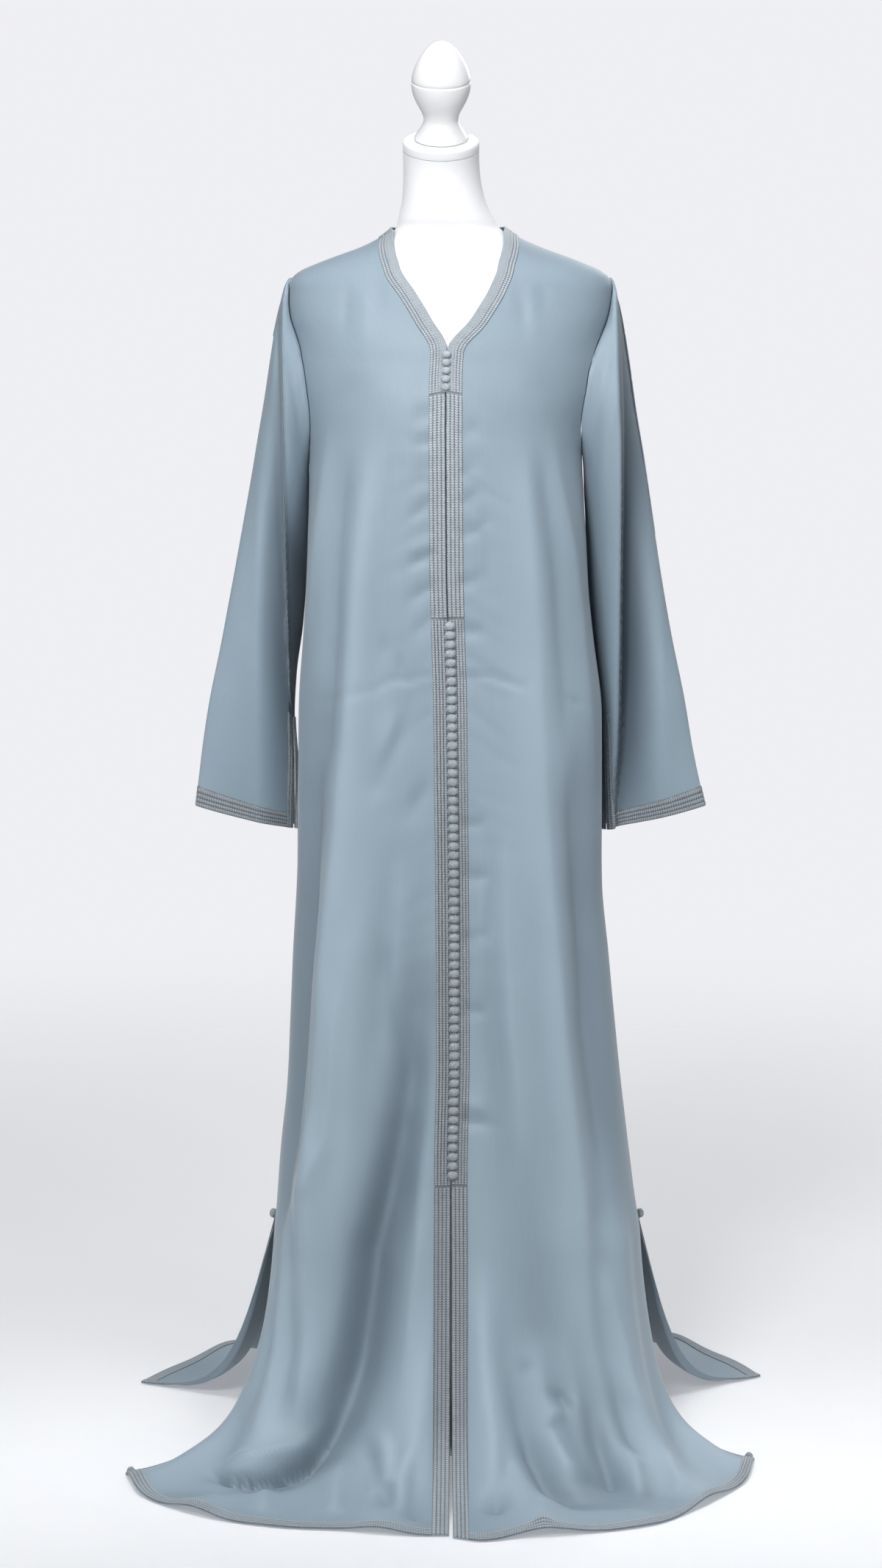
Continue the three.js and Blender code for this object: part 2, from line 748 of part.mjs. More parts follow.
// The cloth of a panel: its outer grid and a second one CLOTH further in, never in the floor.
function clothGeometry(panel) {
  const inner = offsetGrid(panel.grid, panel.normals, -CLOTH);
  inner.forEach((row) => row.forEach((p) => {
    if (p.z < FLOOR_CLEARANCE - CLOTH) {
      p.z = FLOOR_CLEARANCE - CLOTH;
    }
  }));
  return wallGeometry(panel.grid, inner);
}

// A braid over part of a panel's grid: rows i0 to i1 and columns j0 to j1, on the same points,
// moved out, with its edges drawn in by a little.
function braidGeometry(panel, i0, i1, j0, j1, trim = 0.35, lift = BRAID_LIFT) {
  const pick = (grid) => grid.slice(i0, i1 + 1).map((row) => row.slice(j0, j1 + 1));
  const grid = pick(panel.grid).map((row) => row.map((p) => p.clone()));
  const normals = pick(panel.normals);
  const rows = grid.length - 1;
  const columns = grid[0].length - 1;
  const draw = (point, towards, distance) => {
    const way = towards.clone().sub(point);
    point.addScaledVector(way, distance / way.length());
  };
  for (const row of grid) {
    const first = row[1].clone();
    const last = row[columns - 1].clone();
    draw(row[0], first, trim);
    draw(row[columns], last, trim);
  }
  for (let j = 0; j <= columns; j += 1) {
    const first = grid[1][j].clone();
    const last = grid[rows - 1][j].clone();
    draw(grid[0][j], first, trim);
    draw(grid[rows][j], last, trim);
  }
  return wallGeometry(
    offsetGrid(grid, normals, lift + BRAID_THICKNESS),
    offsetGrid(grid, normals, lift),
  );
}

// ---------------------------------------------------------------------------
// Knots
// ---------------------------------------------------------------------------

// Point between the two centre-front edges at a height, and the way out from the cloth.
function centreLineAt(right, left, z) {
  const at = (panel) => {
    let i = 0;
    while (i < panel.grid.length - 2 && panel.grid[i + 1][0].z > z) {
      i += 1;
    }
    const a = panel.grid[i][0];
    const b = panel.grid[i + 1][0];
    const t = (a.z - z) / (a.z - b.z);
    const normal = panel.normals[i][0].clone().lerp(panel.normals[i + 1][0], t);
    return [a.clone().lerp(b, t), normal.normalize()];
  };
  const [p, n] = at(right);
  const [p2, n2] = at(left);
  return [p.lerp(p2, 0.5), n.add(n2).normalize()];
}

// A row of knots fused on a narrow backing cord. Every ring has a flat back on the braid, two
// sides and a ridge in front.
function knotStrip(right, left, heights, width, height, depth) {
  const lift = BRAID_LIFT + BRAID_THICKNESS + 0.5;
  const pitch = heights[0] - heights[1];
  const rings = [];
  const addRing = (z, half, deep) => {
    const [p, n] = centreLineAt(right, left, z);
    const at = (shift, out) => p.clone().addScaledVector(n, lift + out).setX(p.x + shift);
    rings.push([
      at(-half * 0.6, 0),
      at(-half, deep * 0.5),
      at(-half * 0.45, deep),
      at(half * 0.45, deep),
      at(half, deep * 0.5),
      at(half * 0.6, 0),
    ]);
  };
  for (const z of heights) {
    addRing(z + pitch * 0.49, 2.6, 1.6);
    addRing(z + height * 0.24, width / 2, depth);
    addRing(z - height * 0.24, width / 2, depth);
  }
  addRing(heights[heights.length - 1] - pitch * 0.45, 2.6, 1.6);
  return tubeGeometry(rings);
}

// Closed solid through a list of rings of points.
function tubeGeometry(rings) {
  const around = rings[0].length;
  const positions = [];
  rings.forEach((ring) => ring.forEach((p) => positions.push(p.x, p.y, p.z)));
  const index = [];
  for (let i = 0; i < rings.length - 1; i += 1) {
    for (let k = 0; k < around; k += 1) {
      const a = i * around + k;
      const b = i * around + ((k + 1) % around);
      index.push(a, a + around, b + around, a, b + around, b);
    }
  }
  const last = (rings.length - 1) * around;
  for (let k = 1; k < around - 1; k += 1) {
    index.push(0, k, k + 1);
    index.push(last, last + k + 1, last + k);
  }
  const geometry = new THREE.BufferGeometry();
  geometry.setAttribute('position', new THREE.Float32BufferAttribute(positions, 3));
  geometry.setIndex(index);
  return outward(geometry);
}

function knotHeights(top, bottom, count) {
  return Array.from({ length: count }, (_, k) => mix(top, bottom, k / (count - 1)));
}

// A single knot beside the top of a side slit.
function sideKnot(panel, side) {
  const i = panel.qs.findIndex((q) => q <= SLIT_TOP_Z + 1);
  const seam = panel.grid[i][panel.grid[i].length - 1];
  const ball = new THREE.IcosahedronGeometry(5.6, 1);
  const lift = BRAID_LIFT + BRAID_THICKNESS + 5.4;
  ball.translate(seam.x + side * lift, seam.y, seam.z + 2);
  return ball;
}

// ---------------------------------------------------------------------------
// Form and stand
// ---------------------------------------------------------------------------

function torsoGeometry() {
  const around = 28;
  const heights = [
    NECK_TOP_Z, 1560, 1535, 1518, 1508, 1500, 1494, 1486, 1476, 1466, 1456, 1449, 1441, 1430,
    1415, 1395, 1372, 1350, 1330, 1300, 1270, 1240, 1190, 1130, 1060, 1000, 940, 880, 830,
    TORSO_BOTTOM_Z,
  ];
  const positions = [];
  const index = [];
  for (const z of heights) {
    for (let k = 0; k < around; k += 1) {
      const angle = (2 * Math.PI * k) / around;
      const point = z === NECK_TOP_Z ? neckRim(angle) : formPoint(angle, z);
      if (z < 1515) {
        const covered = smooth(1515, 1502, z) * smooth(1270, 1340, z);
        const behind = 1 + 2.3 * smooth(0, 0.4, -Math.cos(angle));
        point.addScaledVector(formNormal(angle, z), -FORM_INSET * covered * behind);
      }
      if (z === 1560) {
        point.z += (point.y + 6) * Math.tan(radians(NECK_TILT)) * 0.35;
      }
      positions.push(point.x, point.y, point.z);
    }
  }
  const rings = heights.length;
  for (let i = 0; i < rings - 1; i += 1) {
    for (let k = 0; k < around; k += 1) {
      const a = i * around + k;
      const b = i * around + ((k + 1) % around);
      index.push(a, a + around, b + around, a, b + around, b);
    }
  }
  const top = positions.length / 3;
  positions.push(0, -10, NECK_TOP_Z);
  positions.push(10, 0, TORSO_BOTTOM_Z);
  for (let k = 0; k < around; k += 1) {
    const b = (k + 1) % around;
    index.push(top, k, b);
    index.push(top + 1, (rings - 1) * around + b, (rings - 1) * around + k);
  }
  const geometry = new THREE.BufferGeometry();
  geometry.setAttribute('position', new THREE.Float32BufferAttribute(positions, 3));
  geometry.setIndex(index);
  return outward(geometry);
}

// Top edge of the neck, on the leaning plane of the cap.
function neckRim(angle) {
  const x = NECK_RADIUS * Math.sin(angle);
  const y = -NECK_RADIUS * Math.cos(angle);
  const tilt = radians(NECK_TILT);
  return new THREE.Vector3(x, -10 + y * Math.cos(tilt), NECK_TOP_Z + y * Math.sin(tilt));
}

// Turned pieces of the neck stand on the leaning plane.
function onNeck(profile, segments) {
  const points = profile.map(([radius, height]) => new THREE.Vector2(radius, height));
  const geometry = new THREE.LatheGeometry(points, segments);
  geometry.rotateX(Math.PI / 2 + radians(NECK_TILT));
  geometry.translate(0, -10, NECK_TOP_Z);
  return geometry;
}

function turned(profile, segments, x, z) {
  const points = profile.map(([radius, height]) => new THREE.Vector2(radius, height));
  const geometry = new THREE.LatheGeometry(points, segments);
  geometry.rotateX(Math.PI / 2);
  geometry.translate(x, 0, z);
  return geometry;
}

// ---------------------------------------------------------------------------
// The part
// ---------------------------------------------------------------------------

const model = new THREE.Group();
const placed = new THREE.Group();
placed.position.set(FORM_AXIS_X, 0, 0);
model.add(placed);

function addPiece(name, geometry, colour, roughness, metalness = 0) {
  const material = new THREE.MeshStandardMaterial({ color: colour, roughness, metalness });
  const mesh = new THREE.Mesh(geometry, material);
  mesh.name = name;
  placed.add(mesh);
}

const cloth = (name, geometry) => addPiece(name, geometry, CLOTH_COLOUR, 0.55);
const braid = (name, geometry) => addPiece(name, geometry, BRAID_COLOUR, 0.6, 0.1);

const frontRight = frontPanel(-1, HEM_FRONT_RIGHT, FOLDS_FRONT_RIGHT);
const frontLeft = frontPanel(1, HEM_FRONT_LEFT, FOLDS_FRONT_LEFT);
const back = backPanel();
const sleeveRight = sleevePanel(-1, SLEEVE_RIGHT);
const sleeveLeft = sleevePanel(1, SLEEVE_LEFT);

cloth('front_right_panel', clothGeometry(frontRight));
cloth('front_left_panel', clothGeometry(frontLeft));
cloth('back_panel', clothGeometry(back));
cloth('sleeve_right', clothGeometry(sleeveRight));
cloth('sleeve_left', clothGeometry(sleeveLeft));

const hemRow = frontRight.grid.length - 1;
const lastColumn = frontRight.grid[0].length - 1;
const slitRow = frontRight.qs.findIndex((q) => q <= SLIT_TOP_Z + 1);
for (const [side, panel] of [['right', frontRight], ['left', frontLeft]]) {
  braid(`braid_front_${side}`, braidGeometry(panel, 0, hemRow, 0, 1));
  braid(`braid_hem_front_${side}`, braidGeometry(panel, hemRow - 1, hemRow, 1, lastColumn - 1));
  braid(
    `braid_slit_front_${side}`,
    braidGeometry(panel, slitRow, hemRow, lastColumn - 1, lastColumn),
  );
}

const backHem = back.grid.length - 1;
const backLast = back.grid[0].length - 1;
const backSlit = back.qs.findIndex((q) => q <= SLIT_TOP_Z + 1);
braid('braid_back_neck', braidGeometry(back, 0, 3, 4, backLast - 4, 0.35, 0.6));
braid('braid_hem_back', braidGeometry(back, backHem - 1, backHem, 1, backLast - 1));
braid('braid_slit_back_right', braidGeometry(back, backSlit, backHem, 0, 1));
braid('braid_slit_back_left', braidGeometry(back, backSlit, backHem, backLast - 1, backLast));

const cuffRow = sleeveRight.grid.length - 1;
const sleeveLast = sleeveRight.grid[0].length - 1;
for (const [side, panel] of [['right', sleeveRight], ['left', sleeveLeft]]) {
  braid(`braid_cuff_${side}`, braidGeometry(panel, cuffRow - 1, cuffRow, 1, sleeveLast - 1));
  braid(`braid_sleeve_slit_front_${side}`, braidGeometry(panel, cuffRow - 4, cuffRow, 0, 1));
  braid(
    `braid_sleeve_slit_back_${side}`,
    braidGeometry(panel, cuffRow - 4, cuffRow, sleeveLast - 1, sleeveLast),
  );
}

const rowHeights = knotHeights(KNOT_ROW_TOP_Z, KNOT_ROW_BOTTOM_Z, KNOTS_IN_ROW);
const perStrip = Math.ceil(KNOTS_IN_ROW / KNOT_STRIPS);
for (let k = 0; k < KNOT_STRIPS; k += 1) {
  const heights = rowHeights.slice(k * perStrip, (k + 1) * perStrip);
  const strip = knotStrip(frontRight, frontLeft, heights, KNOT_WIDTH, KNOT_HEIGHT, KNOT_DEPTH);
  braid(`front_knots_${k + 1}`, strip);
}
const neckHeights = knotHeights(NECK_KNOT_TOP_Z, NECK_KNOT_BOTTOM_Z, NECK_KNOTS);
braid('neck_knots', knotStrip(frontRight, frontLeft, neckHeights, 9, 7.6, 6));
braid('slit_knot_right', sideKnot(frontRight, -1));
braid('slit_knot_left', sideKnot(frontLeft, 1));

addPiece('form_torso', torsoGeometry(), FORM_COLOUR, 0.75);
addPiece('form_neck_cap', onNeck([
  [0, JOINT_GAP],
  [NECK_RADIUS, JOINT_GAP],
  [NECK_RADIUS, CAP_HEIGHT - 1.5],
  [NECK_RADIUS - 1.5, CAP_HEIGHT],
  [0, CAP_HEIGHT],
], 32), FORM_COLOUR, 0.6);
const FINIAL_Z = CAP_HEIGHT + JOINT_GAP;
addPiece('form_finial', onNeck([
  [0, FINIAL_Z],
  [32, FINIAL_Z],
  [32.5, FINIAL_Z + 3],
  [29, FINIAL_Z + 10],
  [23, FINIAL_Z + 18],
  [20.5, FINIAL_Z + 25],
  [23, FINIAL_Z + 34],
  [29, FINIAL_Z + 44],
  [34, FINIAL_Z + 54],
  [36, FINIAL_Z + 65],
  [35, FINIAL_Z + 77],
  [32, FINIAL_Z + 88],
  [26, FINIAL_Z + 102],
  [17, FINIAL_Z + 114],
  [8, FINIAL_Z + 120.5],
  [0, FINIAL_Z + 122],
], 18), FORM_COLOUR, 0.55);

const POLE_TOP = TORSO_BOTTOM_Z - JOINT_GAP;
const POLE_BOTTOM = BASE_HEIGHT + JOINT_GAP;
addPiece('stand_collar', turned([
  [POLE_RADIUS + JOINT_GAP, POLE_TOP - 26],
  [26, POLE_TOP - 26],
  [34, POLE_TOP - 8],
  [34, POLE_TOP],
  [POLE_RADIUS + JOINT_GAP, POLE_TOP],
  [POLE_RADIUS + JOINT_GAP, POLE_TOP - 26],
], 24, 10, 0), METAL_COLOUR, 0.35, 0.8);
addPiece('stand_pole', turned([
  [0, POLE_BOTTOM],
  [POLE_RADIUS, POLE_BOTTOM],
  [POLE_RADIUS, POLE_TOP],
  [0, POLE_TOP],
], 20, 10, 0), METAL_COLOUR, 0.35, 0.8);
addPiece('stand_base', turned([
  [0, 0],
  [BASE_RADIUS, 0],
  [BASE_RADIUS, BASE_HEIGHT - 3],
  [BASE_RADIUS - 6, BASE_HEIGHT],
  [0, BASE_HEIGHT],
], 30, 10, 0), METAL_COLOUR, 0.35, 0.8);

export default model;
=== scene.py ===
import bpy
import numpy as np
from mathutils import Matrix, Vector


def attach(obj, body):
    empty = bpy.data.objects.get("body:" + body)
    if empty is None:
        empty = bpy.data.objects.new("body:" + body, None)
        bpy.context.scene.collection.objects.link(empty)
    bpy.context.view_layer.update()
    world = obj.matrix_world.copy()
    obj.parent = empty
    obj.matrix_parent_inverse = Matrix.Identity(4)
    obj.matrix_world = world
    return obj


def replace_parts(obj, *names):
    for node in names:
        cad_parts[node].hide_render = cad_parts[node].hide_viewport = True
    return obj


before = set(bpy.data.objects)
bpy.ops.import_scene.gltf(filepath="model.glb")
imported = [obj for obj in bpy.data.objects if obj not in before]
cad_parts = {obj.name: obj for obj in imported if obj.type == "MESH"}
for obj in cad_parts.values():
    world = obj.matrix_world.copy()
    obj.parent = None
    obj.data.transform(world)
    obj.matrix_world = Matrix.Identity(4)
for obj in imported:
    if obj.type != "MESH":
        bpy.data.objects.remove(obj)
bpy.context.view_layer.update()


# ------------------------------------------------------------------ stand
# A round foot plate, a pole and the collar that clamps the form on the pole. All three are
# turned steel with a fine satin powder coat. They stand on the floor, hidden by the skirt.

MM = 0.001
FORM_X = -4.0                   # middle of the stand, mm
FOOT_RADIUS = 172.0
FOOT_HEIGHT = 12.0
POLE_RADIUS = 14.0
TORSO_FOOT_Z = 800.0


class Wire:
    """A node's output; a sum written with it adds the nodes of the sum."""

    def __init__(self, socket):
        self.socket = socket

    def sum(self, operation, *terms):
        node = self.socket.id_data.nodes.new("ShaderNodeMath")
        node.operation = operation
        for k, term in enumerate(terms):
            join(term, node.inputs[k])
        return Wire(node.outputs[0])

    def __add__(self, other):
        return self.sum("ADD", self, other)

    def __radd__(self, other):
        return self.sum("ADD", other, self)

    def __sub__(self, other):
        return self.sum("SUBTRACT", self, other)

    def __rsub__(self, other):
        return self.sum("SUBTRACT", other, self)

    def __mul__(self, other):
        return self.sum("MULTIPLY", self, other)

    def __rmul__(self, other):
        return self.sum("MULTIPLY", other, self)

    def __truediv__(self, other):
        return self.sum("DIVIDE", self, other)

    def __pow__(self, other):
        return self.sum("POWER", self, other)

    def __neg__(self):
        return self.sum("MULTIPLY", self, -1.0)

    def __abs__(self):
        return self.sum("ABSOLUTE", self)

    def fract(self):
        return self.sum("FRACT", self)

    def sin(self):
        return self.sum("SINE", self)

    def above(self, other):
        return self.sum("GREATER_THAN", self, other)

    def low(self, other):
        return self.sum("MINIMUM", self, other)

    def high(self, other):
        return self.sum("MAXIMUM", self, other)


def join(value, socket):
    if isinstance(value, Wire):
        socket.id_data.links.new(value.socket, socket)
    else:
        socket.default_value = value


class Recipe:
    """A node tree, with one way to add a node to it."""

    def __init__(self, tree):
        self.tree = tree

    def add(self, kind, settings=(), sockets=(), out=0):
        node = self.tree.nodes.new(kind)
        for name, value in dict(settings).items():
            setattr(node, name, value)
        for name, value in dict(sockets).items():
            for part in value if isinstance(value, list) else [value]:
                join(part, node.inputs[name])
        return Wire(node.outputs[out]) if node.outputs else None

    def blend(self, factor, first, second):
        return self.add("ShaderNodeMix", {"data_type": "RGBA"},
                        {0: factor, 6: first, 7: second}, out=2)

    def noise(self, where, scale, detail=2.0, rough=0.5):
        return self.add("ShaderNodeTexNoise", {}, {
            "Vector": where, "Scale": scale, "Detail": detail, "Roughness": rough})

    def parts(self, where):
        split = self.add("ShaderNodeSeparateXYZ", {}, {0: where}).socket.node
        return [Wire(output) for output in split.outputs]

    def height(self, where):
        return self.parts(where)[2]

    def stretch(self, where, scale):
        return self.add("ShaderNodeMapping", {}, {"Vector": where, "Scale": scale})

    def bump(self, height, depth, strength=1.0):
        return self.add("ShaderNodeBump", {}, {
            "Height": height, "Distance": depth, "Strength": strength})


def new_finish(name, **constants):
    """An empty material, its recipe and its shader; the constants go on the shader itself."""
    material = bpy.data.materials.new(name)
    material.use_nodes = True
    shader = material.node_tree.nodes["Principled BSDF"]
    for key, value in constants.items():
        shader.inputs[key.replace("_", " ")].default_value = value
    return material, Recipe(material.node_tree), shader


def shape(name, points, faces, finish, uv=None, soft=40):
    """A mesh object from points in millimetres, at the origin, with its faces outward."""
    mesh = bpy.data.meshes.new(name)
    mesh.from_pydata((np.asarray(points) * MM).tolist(), [], [list(f) for f in faces])
    if uv is not None:
        corner = np.zeros(len(mesh.loops), dtype=np.int32)
        mesh.loops.foreach_get("vertex_index", corner)
        layer = mesh.uv_layers.new(name="lay")
        layer.data.foreach_set("uv", np.asarray(uv, dtype=np.float32)[corner].ravel())
    mesh.shade_smooth()
    mesh.set_sharp_from_angle(angle=np.radians(soft))
    mesh.materials.append(finish)
    piece = bpy.data.objects.new(name, mesh)
    bpy.context.scene.collection.objects.link(piece)
    return piece


def turned(name, profile, finish, around=96, place=lambda p: p, soft=40):
    """A closed piece turned from a profile of radius and height that starts and ends at 0."""
    profile = np.array(profile, float)
    angle = np.linspace(0, 2 * np.pi, around, endpoint=False)
    rings = profile[1:-1]
    points = [[0, 0, profile[0][1]]]
    for radius, height in rings:
        ring = [radius * np.cos(angle), radius * np.sin(angle), np.full(around, height)]
        points.extend(np.transpose(ring).tolist())
    points.append([0, 0, profile[-1][1]])
    top = len(points) - 1
    faces = []
    for k in range(around):
        after = (k + 1) % around
        faces.append((0, 1 + after, 1 + k))
        for i in range(len(rings) - 1):
            a = 1 + i * around
            faces.append((a + k, a + after, a + around + after, a + around + k))
        a = 1 + (len(rings) - 1) * around
        faces.append((a + k, a + after, top))
    return shape(name, place(np.array(points, float)), faces, finish, soft=soft)


coat, recipe, shader = new_finish("satin_powder_coat", Metallic=0.0, IOR=1.5)
where = recipe.add("ShaderNodeTexCoord", out="Object")
grain = recipe.noise(where, 1400.0, 3.0)
cloud = recipe.noise(where, 9.0, 2.0)
tone = recipe.blend(cloud, (0.66, 0.66, 0.67, 1), (0.74, 0.74, 0.75, 1))
join(tone, shader.inputs["Base Color"])
join(0.32 + 0.14 * grain, shader.inputs["Roughness"])
join(recipe.bump(grain, 0.00012, 0.5), shader.inputs["Normal"])


def on_pole(points):
    return points + [FORM_X, 0, 0]


foot_plate = turned("foot_plate", [
    [0, 0], [FOOT_RADIUS - 1.0, 0], [FOOT_RADIUS, 1.0], [FOOT_RADIUS, FOOT_HEIGHT - 5.0],
    [FOOT_RADIUS - 1.6, FOOT_HEIGHT - 2.2], [FOOT_RADIUS - 5.0, FOOT_HEIGHT - 0.5],
    [FOOT_RADIUS - 9.0, FOOT_HEIGHT], [30, FOOT_HEIGHT], [22, FOOT_HEIGHT], [0, FOOT_HEIGHT],
], coat, place=on_pole)
pole_tube = turned("pole_tube", [
    [0, FOOT_HEIGHT + 0.3], [POLE_RADIUS - 0.8, FOOT_HEIGHT + 0.3],
    [POLE_RADIUS, FOOT_HEIGHT + 1.1], [POLE_RADIUS, TORSO_FOOT_Z - 1.1],
    [POLE_RADIUS - 0.8, TORSO_FOOT_Z - 0.3], [0, TORSO_FOOT_Z - 0.3],
], coat, around=48, place=on_pole)


def ring_piece(name, profile, finish, around, place):
    """A closed ring turned from a closed profile."""
    profile = np.array(profile, float)
    angle = np.linspace(0, 2 * np.pi, around, endpoint=False)
    points = [[r * np.cos(a), r * np.sin(a), h] for a in angle for r, h in profile]
    n = len(profile)
    faces = []
    for k in range(around):
        a = k * n
        b = ((k + 1) % around) * n
        for i in range(n):
            j = (i + 1) % n
            faces.append((a + i, b + i, b + j, a + j))
    return shape(name, place(np.array(points)), faces, finish)


collar_top = TORSO_FOOT_Z - 0.3
collar_ring = ring_piece("collar_ring", [
    [POLE_RADIUS + 0.3, collar_top - 26], [25, collar_top - 26], [26.5, collar_top - 24.5],
    [33.4, collar_top - 9], [34, collar_top - 7], [34, collar_top - 0.8],
    [33.2, collar_top], [POLE_RADIUS + 0.3, collar_top],
], coat, 64, on_pole)
for piece, node in ((foot_plate, "stand_base"), (pole_tube, "stand_pole"),
                    (collar_ring, "stand_collar")):
    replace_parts(piece, node)
    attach(piece, "root")


# ------------------------------------------------------------------ torso and neck of the form
# A limbless torso of stiff foam in one white cotton jersey cover, pulled tight from the neck
# to the foot. The sections run from the neck down to where the cover is tucked under.

AXIS_X = -14.0                  # the form's tables count x from here, mm
NECK_TILT = np.radians(18.5)    # the top of the neck leans forward
NECK_RADIUS = 46.5
NECK_TOP_Z = 1596.0
SET_IN = 2.6                    # bare form under the worn cloth

FORM_SECTIONS = [               # z, middle x and y, half width, front, back, power of the oval
    [1560, 1, -6, 46.5, 46.5, 46.5, 2.0],
    [1535, 3, -2, 50, 50, 51, 2.0],
    [1515, 6, 2, 58, 55, 58, 2.05],
    [1500, 9, 5, 69, 58, 63, 2.1],
    [1494, 10, 6, 76, 59, 65, 2.15],
    [1486, 11, 6, 90, 61, 68, 2.2],
    [1476, 12, 6, 112, 64, 72, 2.2],
    [1466, 12, 6, 140, 67, 76, 2.2],
    [1456, 12, 6, 166, 71, 80, 2.2],
    [1449, 12, 6, 182, 75, 83, 2.2],
    [1441, 12, 6, 192, 80, 87, 2.2],
    [1430, 12, 6, 196, 86, 91, 2.2],
    [1415, 11, 6, 196, 93, 95, 2.2],
    [1395, 10, 5, 194, 101, 99, 2.2],
    [1372, 9.5, 4, 188, 108, 102, 2.2],
    [1350, 9, 4, 182, 114, 104, 2.2],
    [1330, 8.5, 3, 177, 118, 105, 2.2],
    [1300, 8, 3, 168, 123, 106, 2.2],
    [1270, 7, 2, 160, 127, 106, 2.2],
    [1240, 6, 1, 155, 129, 105, 2.2],
    [1190, 6, 0, 147, 122, 99, 2.2],
    [1130, 7, 0, 136, 105, 88, 2.2],
    [1060, 8, 0, 126, 90, 80, 2.2],
    [1000, 9, 0, 137, 96, 91, 2.2],
    [940, 10, 0, 153, 104, 104, 2.2],
    [880, 10, 0, 160, 105, 109, 2.2],
    [830, 10, 0, 157, 101, 105, 2.2],
    [800, 10, 0, 150, 95, 98, 2.2],
]


def read_table(rows, q):
    """Smooth value of every column of a table whose first column falls, at each q."""
    rows = np.array(rows, float)
    x, y = rows[:, 0], rows[:, 1:]
    step = x[1:] - x[:-1]
    rate = (y[1:] - y[:-1]) / step[:, None]
    slope = np.zeros_like(y)
    slope[0], slope[-1] = rate[0], rate[-1]
    before, after = rate[:-1], rate[1:]
    agree = before * after > 0
    slope[1:-1] = np.where(agree, 2 * before * after / np.where(agree, before + after, 1), 0)
    q = np.clip(np.asarray(q, float), x[-1], x[0])
    i = np.clip(np.searchsorted(-x, -q, side="right") - 1, 0, len(x) - 2)
    t = ((q - x[i]) / step[i])[..., None]
    h = step[i][..., None]
    a = 2 * t ** 3 - 3 * t ** 2 + 1
    b = t ** 3 - 2 * t ** 2 + t
    d = t ** 3 - t ** 2
    return a * y[i] + b * h * slope[i] + (1 - a) * y[i + 1] + d * h * slope[i + 1]


def smooth(low, high, x):
    """0 at low, 1 at high, and an even turn between them."""
    t = np.clip((np.asarray(x, float) - low) / (high - low), 0, 1)
    return t * t * (3 - 2 * t)


def mix(a, b, t):
    return a + (b - a) * t


def oval(x, y, half, front, back, power, angle, z):
    """Point of a section; angle 0 is the middle of the front, 90 degrees the left side."""
    s, c = np.sin(angle), np.cos(angle)
    depth = np.where(c > 0, front, back)
    across = np.sign(s) * np.abs(s) ** (2 / power)
    ahead = np.sign(c) * np.abs(c) ** (2 / power)
    return np.stack(np.broadcast_arrays(x + half * across, y - depth * ahead, z), axis=-1)


def form_point(angle, z):
    x, y, half, front, back, power = np.moveaxis(read_table(FORM_SECTIONS, z), -1, 0)
    return oval(x, y, half, front, back, power, angle, z)


def unit(v):
    return v / np.maximum(np.linalg.norm(v, axis=-1, keepdims=True), 1e-9)


def form_normal(angle, z):
    along = form_point(angle + 0.02, z) - form_point(angle - 0.02, z)
    down = form_point(angle, z - 2.0) - form_point(angle, z + 2.0)
    return unit(np.cross(down, along))


def neck_rim(angle):
    """Top edge of the neck, on the leaning plane of its cap."""
    x = NECK_RADIUS * np.sin(angle)
    y = -NECK_RADIUS * np.cos(angle)
    return np.stack([x, -10 + y * np.cos(NECK_TILT), NECK_TOP_Z + y * np.sin(NECK_TILT)], -1)


around = 144
angle, z = np.meshgrid(np.linspace(0, 2 * np.pi, around, endpoint=False),
                       np.concatenate([np.linspace(1515, 1425, 46)[:-1],
                                       np.linspace(1425, 800, 110)]))
body = form_point(angle, z)
covered = smooth(1515, 1502, z) * smooth(1270, 1340, z)
behind = 1 + 2.3 * smooth(0, 0.4, -np.cos(angle))
body -= form_normal(angle, z) * (SET_IN * covered * behind)[..., None]
foot = smooth(812, 800, z) * (1 - np.sqrt(np.clip(1 - ((812 - z) / 12) ** 2, 0, 1)))
body[..., 0] = mix(body[..., 0], 10, 0.06 * foot)
body[..., 1] = mix(body[..., 1], 0, 0.06 * foot)
rim = neck_rim(angle[0])
rise = unit(body[0] - body[1]) * 30
lean = np.array([0, -np.sin(NECK_TILT), np.cos(NECK_TILT)]) * -26
neck = []
for t in np.linspace(0, 1, 40)[:-1]:
    a, b, c, d = (1 - t) ** 3, 3 * t * (1 - t) ** 2, 3 * t * t * (1 - t), t ** 3
    neck.append(a * rim + b * (rim + lean) + c * (body[0] + rise) + d * body[0])
rings = np.concatenate([np.stack(neck), body])
points = rings.reshape(-1, 3)
top, base = len(points), len(points) + 1
points = np.concatenate([points, [[0, -10, NECK_TOP_Z], [10, 0, TORSO_FOOT_Z]]])
faces = []
for k in range(around):
    after = (k + 1) % around
    faces.append((top, k, after))
    for i in range(len(rings) - 1):
        faces.append((i * around + k, (i + 1) * around + k,
                      (i + 1) * around + after, i * around + after))
    faces.append((base, (len(rings) - 1) * around + after, (len(rings) - 1) * around + k))

jersey, recipe, shader = new_finish("white_cotton_jersey", Roughness=0.82, Sheen_Weight=0.25,
                                    Sheen_Roughness=0.5)
where = recipe.add("ShaderNodeTexCoord", out="Object")
knit = recipe.add("ShaderNodeTexVoronoi", {"feature": "SMOOTH_F1"}, {
    "Vector": recipe.stretch(where, (1.0, 1.0, 0.7)), "Scale": 950.0})
fibre = recipe.noise(where, 2600.0, 3.0)
cloud = recipe.noise(where, 5.0, 3.0)
tone = recipe.blend(cloud, (0.86, 0.86, 0.87, 1), (0.93, 0.93, 0.94, 1))
join(recipe.blend(0.25 * fibre, tone, (0.72, 0.73, 0.76, 1)), shader.inputs["Base Color"])
join(recipe.bump(knit + 0.5 * fibre, 0.00025, 0.45), shader.inputs["Normal"])

